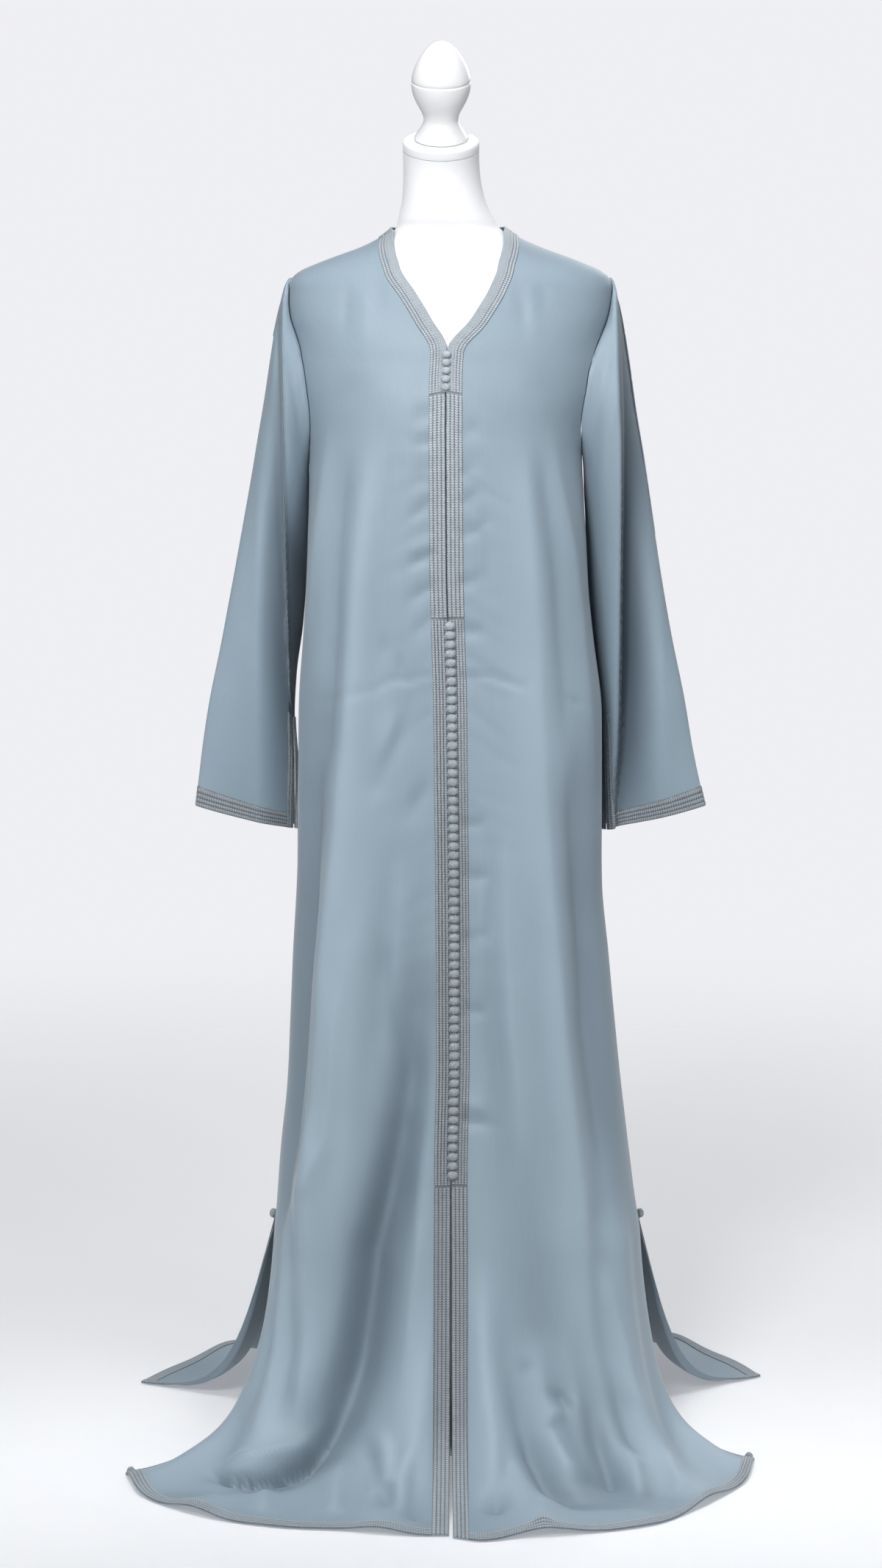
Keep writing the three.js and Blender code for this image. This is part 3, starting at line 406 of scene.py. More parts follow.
torso_cover = shape("torso_cover", points + [AXIS_X, 0, 0], faces, jersey)
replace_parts(torso_cover, "form_torso")
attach(torso_cover, "root")


# ------------------------------------------------------------------ neck cap and finial
# A disc covered in the same jersey closes the neck, with its seam just under the rim. The
# egg-shaped finial is turned wood in white lacquer, screwed into the disc, with a turned ring.

CAP_HEIGHT = 13.0


def on_neck(points):
    """Stands a turned piece on the leaning plane of the neck."""
    x, y, z = points.T
    cos, sin = np.cos(NECK_TILT), np.sin(NECK_TILT)
    return np.stack([x + AXIS_X, y * cos - z * sin - 10, y * sin + z * cos + NECK_TOP_Z], -1)


neck_cap = turned("neck_cap", [
    [0, 0.3], [NECK_RADIUS - 0.6, 0.3], [NECK_RADIUS - 0.1, 0.7], [NECK_RADIUS, 1.6],
    [NECK_RADIUS + 0.15, 4.0], [NECK_RADIUS + 0.15, 8.6], [NECK_RADIUS - 0.1, 10.6],
    [NECK_RADIUS - 0.9, 12.0], [NECK_RADIUS - 2.2, 12.8], [NECK_RADIUS - 4.0, CAP_HEIGHT],
    [36, CAP_HEIGHT], [0, CAP_HEIGHT],
], jersey, around=128, place=on_neck, soft=60)

egg = np.array([
    [30.5, 0.0], [32.0, 0.7], [32.4, 2.2], [31.6, 4.6], [29.0, 9.0], [25.4, 14.2],
    [22.4, 19.4], [21.0, 23.8], [20.9, 26.4], [21.6, 30.0], [23.6, 35.0], [27.4, 42.0],
    [31.2, 49.4], [34.0, 56.6], [35.6, 63.4], [36.0, 68.0], [35.9, 71.6], [35.2, 72.2],
    [35.1, 73.2], [35.6, 73.9], [35.2, 78.0], [33.6, 84.4], [31.0, 91.4], [27.6, 98.4],
    [23.4, 105.2], [18.6, 111.4], [13.2, 116.6], [8.0, 120.0], [3.4, 121.6],
])
egg[:, 1] += CAP_HEIGHT + 0.3
profile = [[0, egg[0][1]]]
for k in range(len(egg) - 1):
    for t in (0.0, 0.5):
        profile.append(list(mix(egg[k], egg[k + 1], t)))
profile += [list(egg[-1]), [0, egg[-1][1] + 0.4]]

lacquer, recipe, shader = new_finish("white_lacquer", Coat_Roughness=0.25, IOR=1.5)
where = recipe.add("ShaderNodeTexCoord", out="Object")
film = recipe.noise(where, 60.0, 3.0)
speck = recipe.noise(where, 700.0, 2.0)
tone = recipe.blend(film, (0.88, 0.88, 0.89, 1), (0.93, 0.93, 0.93, 1))
join(tone, shader.inputs["Base Color"])
join(0.34 + 0.12 * film, shader.inputs["Roughness"])
join(0.25 + 0.1 * film, shader.inputs["Coat Weight"])
join(recipe.bump(speck, 0.00008, 0.3), shader.inputs["Normal"])
egg_finial = turned("egg_finial", profile, lacquer, around=96, place=on_neck, soft=60)
for piece, node, slot in ((neck_cap, "form_neck_cap", "form_jersey"),
                          (egg_finial, "form_finial", "finial")):
    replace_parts(piece, node)
    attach(piece, "root")


# ------------------------------------------------------------------ back of the gown
# The back is one cut of matt-backed satin crepe from the shoulders to the short train. It is
# carried by the form's shoulders, hangs free below the shoulder blades and is open at both
# sides from the slits down. Each cut edge is turned under the braid.

CLOTH = 0.9                     # wall of the cloth, mm
FOLD_FULL = 11.0                # rise of a fold at which its painted shade (valley) and painted highlight (ridge) are full, mm
SEAM_GAP = 0.3                  # from the middle of a seam to the cloth's edge
WORN_GAP = 2.2                  # outer face of the cloth above the bare form where it rests
SLIT_TOP_Z = 262.0
UNDERARM_Z = 1225.0
FLOOR_CLEAR = 2.2
HEM_BRAID_WIDTH = 19.0
DROP_LENGTH = 420.0             # cloth from the slit's height to the hem
SLIT_BRAID_WIDTH = 9.0
ARM_ROWS = 56                   # rows of a panel from the shoulder to the underarm
BODY_ROWS = 165                 # from there to the slit
DROP_ROWS = 75                  # from there to the braid of the hem
HEM_ROWS = 8                    # under the braid of the hem
LYING_Z, HEM_Z = 3.5, 2.6       # outer face of the cloth as it nears the floor, and at the hem
SLACK = 0.55                    # unevenness of hung cloth, mm
INSIDE_TONE = 0.3               # the inner face shows this share of a fold's painted shade and highlight, and is painted so much darker as shade
VALLEY_TONE = 0.55              # a valley's painted shade, as a share of a ridge's painted highlight

GOWN_SECTIONS = [               # z, right side, left side, front, back
    [1345, -180, 200, -115, 112], [1300, -171, 188, -126, 112.5], [1262, -165, 178, -131.5, 112],
    [1225, -162, 174, -134.5, 111], [1180, -162, 176, -135, 110.5], [1130, -164, 179, -135, 111],
    [1070, -167, 182, -135, 113], [1000, -171, 189, -136, 116], [911, -176.5, 199, -139, 121],
    [830, -178, 200, -142, 127], [747, -179, 200.5, -146, 134], [691, -181, 202, -149, 139],
    [606, -186, 210, -155, 148], [521, -190, 218, -162, 158], [436, -194, 227, -171, 169],
    [350, -203, 238, -183, 183], [262, -209, 249, -198, 201],
]
ARMHOLE = [                     # z, angles of right front, left front, right back, left back
    [1441, 90, 90, 90, 90], [1438.5, 88, 88, 88, 88], [1431, 85, 86, 85, 85],
    [1418, 83, 84, 82, 82], [1395, 80, 81, 78, 78], [1372, 76.5, 76, 75, 75],
    [1350, 73, 70, 73, 73], [1326, 71, 66, 72, 72], [1298, 71.5, 67, 73, 73],
    [1268, 74, 71, 76, 76], [1244, 79, 78, 80, 80], [1225, 90, 90, 90, 90],
]
BACK_ROWS = [                   # z and angle at the side of the neck, z at the middle
    [1502, 90, 1500], [1498, 83, 1492], [1493, 76, 1484], [1487, 69, 1475.5],
    [1469, 63, 1452], [1446, 58, 1424], [1417, 54, 1394], [1382, 50, 1360],
    [1342, 48, 1324], [1300, 46, 1288], [1260, 45, 1254], [1225, 45, 1225],
]
HEM_BACK = [                    # x, y of the hem on the floor, from the right slit to the left
    [-394, 120], [-350, 196], [-292, 262], [-190, 352], [-90, 426], [14, 470],
    [120, 440], [238, 368], [338, 283], [392, 214], [422, 147],
]
# How the cloth falls from the slit's height to the hem, by share from the middle: how far out
# it leaves, how high it turns, and how far across and along it meets the floor.
DROP_BACK = [
    [1.0, 0.29, 0.29, 0.33, 0.5], [0.9, 0.27, 0.13, 0.36, 0.42], [0.8, 0.22, 0.08, 0.45, 0.14],
    [0.7, 0.18, 0.08, 0.5, 0.08], [0.55, 0.15, 0.12, 0.5, 0.12], [0.3, 0.14, 0.28, 0.5, 0.42],
    [0.0, 0.15, 0.3, 0.52, 0.52],
]
# Soft folds: the line they follow as height and share across, their width, and their rise.
FOLDS_BACK = [
    {"line": [[1000, 0.2], [400, 0.22], [0, 0.25]], "width": 0.07,
     "rise": [[1000, 0], [600, 6], [262, 14], [80, 20], [0, 10]]},
    {"line": [[1100, -0.24], [400, -0.25], [0, -0.28]], "width": 0.07,
     "rise": [[1100, 0], [600, 7], [262, 14], [80, 20], [0, 10]]},
    {"line": [[900, -0.02], [0, 0.0]], "width": 0.07,
     "rise": [[900, 0], [500, -6], [262, -10], [80, -8], [0, 0]]},
    {"line": [[900, 0.56], [0, 0.6]], "width": 0.08,
     "rise": [[900, 0], [500, 6], [262, 12], [80, 18], [0, 10]]},
    {"line": [[900, -0.58], [0, -0.62]], "width": 0.08,
     "rise": [[900, 0], [500, 6], [262, 12], [80, 18], [0, 10]]},
]
# Creases: points of height and share across with the rise there in mm, and the width in mm.
CREASES_BACK = [
    ([(1150, 0.12, 0), (700, 0.13, -3.5), (262, 0.13, -6), (90, 0.12, 0)], 16),
    ([(1150, -0.14, 0), (700, -0.14, -4), (262, -0.14, -6), (90, -0.14, 0)], 16),
    ([(1180, 0.42, 0), (800, 0.4, -4), (262, 0.41, -7), (60, 0.44, 0)], 18),
    ([(1180, -0.42, 0), (800, -0.42, -4), (262, -0.42, -7), (60, -0.45, 0)], 18),
    ([(1360, 0.5, 0), (1290, 0.3, -1.6), (1200, 0.1, 0)], 14),
    ([(1360, -0.5, 0), (1290, -0.3, -1.6), (1200, -0.1, 0)], 14),
    ([(1240, 0.86, 0), (1160, 0.66, 1.8), (1080, 0.5, 0)], 12),
    ([(1240, -0.86, 0), (1160, -0.68, 1.8), (1080, -0.5, 0)], 12),
]


def gown_point(angle, z):
    """Outer face of the cloth without folds: on the form at the shoulders, free below."""
    right, left, front, back = np.moveaxis(read_table(GOWN_SECTIONS, z), -1, 0)
    power = 2.2 + 1.1 * smooth(1270, 1060, z)
    free = oval((right + left) / 2, 0, (left - right) / 2, -front, back, power, angle, z)
    worn = smooth(1300, 1395, z)[..., None]
    rest = form_point(angle, z) + form_normal(angle, z) * WORN_GAP
    return mix(free, rest, worn)


def path_lengths(points):
    """Length of a path from its start to each of its points."""
    steps = np.linalg.norm(np.diff(points, axis=0), axis=1)
    return np.concatenate([[0], np.cumsum(steps)])


def along_path(points, lengths, at):
    return np.stack([np.interp(at, lengths, points[:, k]) for k in range(3)], axis=-1)


def strip_columns(column, columns, length, start_strip, end_strip, gap):
    """Where each column lies on a row: a braid's strip at each end, the rest even."""
    marks = [0, 1, columns - 1, columns]
    places = [gap, gap + start_strip, length - gap - end_strip, length - gap]
    return np.interp(column, marks, places)


def surface_normals(grid, turn):
    down = np.gradient(grid, axis=0)
    across = np.gradient(grid, axis=1)
    return unit(np.cross(down, across)) * turn


def fold_rise(folds, share, height):
    """Rise of the soft folds over a grid; they die out at the middle and at the edges."""
    total = np.zeros_like(share)
    for fold in folds:
        middle = read_table(fold["line"], height)[..., 0]
        rise = read_table(fold["rise"], height)[..., 0]
        total += rise * np.exp(-(((share - middle) / fold["width"]) ** 2))
    return total * smooth(0, 0.1, np.abs(share)) * smooth(1.0, 0.9, np.abs(share))


def crease_rise(creases, grid, share, height):
    """Rise of the creases over a grid, measured on the cloth from each crease's line."""
    total = np.zeros(grid.shape[:2])
    normals = surface_normals(grid, 1)
    normals *= np.sign(-normals[len(grid) // 2, grid.shape[1] // 2, 1])
    for line, width in creases:
        wider, narrower = width if isinstance(width, tuple) else (width, width)
        marks = []
        for z, s, rise in line:
            i = np.argmin(np.abs(height[:, 0] - z))
            j = np.argmin(np.abs(share[i] - s))
            marks.append((grid[i, j], rise))
        best = np.full(grid.shape[:2], 1e9)
        rise_there = np.zeros(grid.shape[:2])
        span = np.full(grid.shape[:2], 1.0)
        for (a, rise_a), (b, rise_b) in zip(marks[:-1], marks[1:]):
            way = b - a
            t = np.clip(((grid - a) @ way) / max(way @ way, 1e-6), 0, 1)
            offset = grid - (a + t[..., None] * way)
            away = np.linalg.norm(offset, axis=-1)
            nearer = away < best
            aside = (offset * np.cross(way, normals)).sum(-1)
            span = np.where(nearer, np.where(aside > 0, wider, narrower), span)
            best = np.where(nearer, away, best)
            eased = t * t * (3 - 2 * t)
            rise_there = np.where(nearer, mix(rise_a, rise_b, eased), rise_there)
        d = best / span
        soft, sharp = np.exp(-d * d), np.exp(-1.3 * np.sqrt(d * d + 0.02))
        total += rise_there * (0.65 * soft + 0.35 * sharp)
    return total * smooth(1.0, 0.985, np.abs(share))


def slack(grid, seed, size):
    """Faint unevenness of hung cloth, longer down than across."""
    rng = np.random.default_rng(seed)
    total = np.zeros(grid.shape[:2])
    for _ in range(14):
        across, up = rng.uniform(0.02, 0.085), rng.uniform(0.003, 0.022)
        turn = rng.uniform(0, 2 * np.pi, 2)
        total += np.sin(grid[..., 0] * across + grid[..., 2] * up + turn[0]
                        + 1.5 * np.sin(grid[..., 2] * 0.011 + turn[1])) / 14 ** 0.5
    return total * size


def to_hem(grid, column, height, hem, columns, ends, share, drop):
    """Adds the rows from the slit's height down to the floor and out to the hem."""
    hem = np.column_stack([np.array(hem, float), np.zeros(len(hem))])
    fine = np.linspace(0, len(hem) - 1, 200)
    rows = np.column_stack([-np.arange(len(hem)), hem])
    hem = read_table(rows, -fine)
    lengths = path_lengths(hem)
    at = strip_columns(column, columns, lengths[-1], ends[0], ends[1], 0)
    foot = along_path(hem, lengths, at)
    top = grid[-1]
    hem_share = HEM_BRAID_WIDTH / DROP_LENGTH
    steps = np.concatenate([np.linspace(0, 1 - hem_share, DROP_ROWS + 1)[1:],
                            np.linspace(1 - hem_share, 1, HEM_ROWS + 1)[1:]])
    drop = read_table(drop, np.abs(share))
    p1 = mix(top, foot, drop[:, :1])
    p1[:, 2] = top[:, 2] * drop[:, 1]
    p2 = mix(top[:, :2], foot[:, :2], drop[:, 2:])
    p2 = np.column_stack([p2, np.full(len(p2), LYING_Z)])
    p3 = foot.copy()
    p3[:, 2] = HEM_Z
    rows = []
    for t in steps:
        a, b, c, d = (1 - t) ** 3, 3 * t * (1 - t) ** 2, 3 * t * t * (1 - t), t ** 3
        rows.append(a * top + b * p1 + c * p2 + d * p3)
    return (np.concatenate([grid, np.stack(rows)]),
            np.concatenate([height, SLIT_TOP_Z * (1 - steps)]))


def hang(grid, height, share, turn, folds, creases, seed, seam):
    """Puts the folds and creases into a panel and gives its final points and normals."""
    normals = surface_normals(grid, turn)
    height = np.repeat(height[:, None], grid.shape[1], axis=1)
    share = np.repeat(share[None], grid.shape[0], axis=0)
    rise = fold_rise(folds, share, height)
    rise += crease_rise(creases, grid, share, height)
    free = smooth(1420, 1250, height) * smooth(1.0, 0.93, np.abs(share))
    rise += slack(grid, seed, SLACK) * free
    grid = grid + normals * rise[..., None]
    grid[..., 2] = np.maximum(grid[..., 2], FLOOR_CLEAR)
    normals = surface_normals(grid, turn)
    side, shift = seam
    on_seam = side != 0
    z = grid[0, :, 2]
    fitted = form_normal(side * np.pi / 2, z)
    normals[0] = np.where(on_seam[:, None], fitted, normals[0])
    grid[0, on_seam, 1] += shift
    return {"grid": grid, "normals": normals, "fold": rise}


def cloth_piece(name, panel, finish):
    """The wall of a panel as one closed mesh, laid out flat in metres for its weave."""
    grid, normals = panel["grid"], panel["normals"]
    rows, columns = grid.shape[:2]
    inner = grid - normals * CLOTH
    inner[..., 2] = np.maximum(inner[..., 2], FLOOR_CLEAR - CLOTH)
    points = np.concatenate([grid.reshape(-1, 3), inner.reshape(-1, 3)]) + [AXIS_X, 0, 0]
    n = rows * columns
    index = np.arange(n).reshape(rows, columns)
    a, b, c, d = index[:-1, :-1], index[1:, :-1], index[1:, 1:], index[:-1, 1:]
    outer = np.stack([a, b, c, d], -1).reshape(-1, 4)
    inside = outer[:, ::-1] + n
    loop = np.concatenate([index[0, :-1], index[:-1, -1], index[-1, :0:-1], index[:0:-1, 0]])
    edges = np.stack([loop, np.roll(loop, -1), np.roll(loop, -1) + n, loop + n], -1)
    faces = np.concatenate([outer, inside, edges])
    middle = normals[rows // 2, columns // 2]
    p = grid[rows // 2, columns // 2]
    q = grid[rows // 2 + 1, columns // 2]
    r = grid[rows // 2, columns // 2 + 1]
    if np.dot(np.cross(q - p, r - p), middle) < 0:
        faces = faces[:, ::-1]
    down = np.concatenate([np.zeros((1, columns)), np.cumsum(
        np.linalg.norm(np.diff(grid, axis=0), axis=-1), axis=0)])
    over = np.concatenate([np.zeros((rows, 1)), np.cumsum(
        np.linalg.norm(np.diff(grid, axis=1), axis=-1), axis=1)], axis=1)
    flat = np.stack([over, down], -1).reshape(-1, 2) * MM
    piece = shape(name, points, faces, finish, uv=np.concatenate([flat, flat]), soft=70)
    # Painted light: each fold's rise, eased, becomes painted highlight on ridges and painted shade
    # in valleys, less the panel's own painted shade; the inner face takes a share of it and is
    # painted darker as shade.
    depth = np.tanh(panel["fold"] / FOLD_FULL)
    depth = np.where(depth < 0, VALLEY_TONE * depth, depth) - panel.get("shade", 0)
    depth = depth.ravel()
    piece.data.attributes.new("fold", "FLOAT", "POINT").data.foreach_set(
        "value", np.concatenate([depth, INSIDE_TONE * (depth - 1)]).astype(np.float32))
    return piece


BACK_COLUMNS = 20               # one braid's strip at each end, the rest even


def back_panel():
    """The back: rows from the shoulders and neck to the underarm, down, and out to the hem."""
    shoulder, neck, columns = 5, 10, BACK_COLUMNS
    column = np.linspace(0, columns, 121)
    w = np.linspace(0, 11, ARM_ROWS)
    order = -np.arange(12.0)
    arm = read_table(np.column_stack([order, ARMHOLE]), -w)
    rows = read_table(np.column_stack([order, BACK_ROWS]), -w)
    side = np.where(column <= columns / 2, -1, 1)
    inward = np.minimum(column, columns - column)
    on_shoulder = np.minimum(inward / shoulder, 1)
    on_neck = np.clip((inward - shoulder) / (neck / 2), 0, 1)
    arm_angle = np.where(side[None] < 0, arm[:, 3:4], arm[:, 4:5])
    angle = mix(mix(arm_angle, rows[:, 1:2], on_shoulder), 0, on_neck)
    z = mix(mix(arm[:, 0:1], rows[:, 0:1], on_shoulder), rows[:, 2:3], smooth(0, 1, on_neck))
    grid = [gown_point((np.pi - np.radians(angle)) * side, z)]
    height = [arm[:, 0]]
    down = np.linspace(UNDERARM_Z, SLIT_TOP_Z, BODY_ROWS + 1)[1:]
    turn, z = np.meshgrid(-np.pi / 2 - np.linspace(0, np.pi, 97), down)
    for path, z in zip(gown_point(turn, z), down):
        lengths = path_lengths(path)
        strip = strip_columns(column, columns, lengths[-1], SLIT_BRAID_WIDTH,
                              SLIT_BRAID_WIDTH, SEAM_GAP)
        even = mix(SEAM_GAP, lengths[-1] - SEAM_GAP, column / columns)
        at = mix(even, strip, smooth(UNDERARM_Z, 1000, z))
        grid.append(along_path(path, lengths, at)[None])
    height.append(down)
    grid, height = np.concatenate(grid), np.concatenate(height)
    share = 2 * column / columns - 1
    grid, height = to_hem(grid, column, height, HEM_BACK, columns,
                          (SLIT_BRAID_WIDTH, SLIT_BRAID_WIDTH), share, DROP_BACK)
    seam = np.where(column <= shoulder, -1, np.where(column >= columns - shoulder, 1, 0))
    panel = hang(grid, height, share, -1, FOLDS_BACK, CREASES_BACK, 3, (seam, SEAM_GAP))
    panel["column"] = column
    return panel


crepe, recipe, shader = new_finish("blue_grey_satin_crepe", Sheen_Weight=0.18,
                                   Sheen_Roughness=0.35, IOR=1.45)
lay = recipe.add("ShaderNodeUVMap", {"uv_map": "lay"})
yarn_down = recipe.noise(recipe.stretch(lay, (2200.0, 320.0, 1.0)), 1.0, 2.0)
yarn_across = recipe.noise(recipe.stretch(lay, (300.0, 2400.0, 1.0)), 1.0, 2.0)
slub = recipe.noise(recipe.stretch(lay, (420.0, 14.0, 1.0)), 1.0, 3.0, 0.6)
cloud = recipe.noise(lay, 7.0, 3.0, 0.55)
weave = yarn_down * 0.5 + yarn_across * 0.5
fold = recipe.add("ShaderNodeAttribute", {"attribute_name": "fold"}, out=2)
tone = recipe.blend(0.35 * weave + 0.25 * slub + 0.4 * cloud, (0.206, 0.270, 0.324, 1),
                    (0.300, 0.382, 0.445, 1))
# Painted shade in the valleys and shaded places, from the fold attribute, towards a near-black
# blue.
tone = recipe.blend((-0.6 * fold).high(0.0).low(1.0), tone, (0.040, 0.060, 0.082, 1))
# Painted highlight on the ridges, from the same attribute.
tone = recipe.blend((0.55 * fold).high(0.0), tone, (0.36, 0.45, 0.52, 1))
join(tone, shader.inputs["Base Color"])
join(0.44 + 0.1 * weave + 0.06 * slub, shader.inputs["Roughness"])
ripple = recipe.noise(recipe.stretch(lay, (60.0, 26.0, 1.0)), 1.0, 3.0, 0.5)
relief = recipe.bump(ripple, 0.0011, 0.30)
join(recipe.add("ShaderNodeBump", {}, {"Height": weave + 0.4 * slub, "Distance": 0.00022,
                                       "Strength": 0.55, "Normal": relief}),
     shader.inputs["Normal"])

back = back_panel()
gown_back = cloth_piece("gown_back", back, crepe)
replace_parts(gown_back, "back_panel")
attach(gown_back, "root")


# ------------------------------------------------------------------ fronts of the gown
# Two cuts of the same crepe that meet edge to edge down the middle, from the V of the neck to
# the floor. They hang from the shoulders and the bust, part below the last knot, and spread
# out on the floor in front.

FRONT_PART_Z = 325.0            # the fronts part from here down
FRONT_PART_GAP = 4.5
V_FOOT_Z = 1360
BRAID_WIDTH = 20.0

NECKLINE = [                    # z, x on the right, x on the left
    [1502, -58, 77], [1480, -56.5, 75], [1466, -53, 71], [1438, -41, 62.5],
    [1418, -26, 51.5], [1397, -13, 38], [1372, 0, 20], [V_FOOT_Z, 7, 7.6],
]
CENTRE_FRONT = [                # z, x
    [V_FOOT_Z, 7.3], [1320, 5.5], [1100, 6.5], [1029, 8.2],
    [930, 11], [500, 14.4], [360, 12], [262, 12],
]
NECK_ROW_Z = [1502, 1499, 1491, 1478, 1462, 1442, 1418, 1392, 1360, 1322, 1276, 1235]
HEM_FRONT_RIGHT = [
    [9, -459], [-25, -459], [-74, -452], [-124, -440], [-174, -434], [-225, -420],
    [-276, -397], [-329, -356], [-366, -310], [-384, -245],
]
HEM_FRONT_LEFT = [
    [14, -466], [49, -477], [99, -464], [149, -455], [199, -442], [249, -422],
    [303, -369], [345, -312], [374, -258], [386, -190],
]
DROP_FRONT = [
    [1.0, 0.058, 0.037, 0.226, 0.7], [0.9, 0.06, 0.1, 0.27, 0.62],
    [0.75, 0.07, 0.2, 0.36, 0.52], [0.5, 0.09, 0.29, 0.46, 0.46],
    [0.0, 0.14, 0.3, 0.46, 0.46],
]
FOLDS_FRONT_RIGHT = [
    {"line": [[1230, 0.38], [950, 0.43], [700, 0.47], [400, 0.51], [150, 0.56], [0, 0.62]],
     "width": 0.07, "rise": [[1230, 0], [1050, 4], [700, 6], [300, 10], [120, 14], [0, 8]]},
    {"line": [[760, 0.13], [430, 0.18], [260, 0.26], [150, 0.35], [80, 0.46], [30, 0.66],
              [0, 0.8]],
     "width": 0.06, "rise": [[760, 0], [430, -9], [200, -16], [80, -14], [30, -8], [0, 0]]},
    {"line": [[560, 0.07], [262, 0.09], [120, 0.13], [0, 0.2]],
     "width": 0.06, "rise": [[560, 0], [262, 5], [120, 14], [0, 7]]},
    {"line": [[300, 0.72], [120, 0.78], [0, 0.86]],
     "width": 0.08, "rise": [[300, 0], [150, 8], [60, 16], [0, 10]]},
]
FOLDS_FRONT_LEFT = [
    {"line": [[1230, 0.4], [950, 0.45], [700, 0.49], [400, 0.54], [150, 0.58], [0, 0.64]],
     "width": 0.07, "rise": [[1230, 0], [1050, 4], [700, 6], [300, 10], [120, 14], [0, 8]]},
    {"line": [[460, 0.26], [262, 0.29], [130, 0.34], [60, 0.44], [20, 0.56], [0, 0.62]],
     "width": 0.07, "rise": [[460, 0], [262, -4], [130, -11], [60, -13], [20, -7], [0, 0]]},
    {"line": [[560, 0.1], [262, 0.12], [120, 0.16], [0, 0.24]],
     "width": 0.07, "rise": [[560, 0], [262, 5], [120, 13], [0, 8]]},
    {"line": [[330, 0.76], [120, 0.8], [0, 0.86]],
     "width": 0.07, "rise": [[330, 0], [150, 8], [60, 15], [0, 10]]},
]
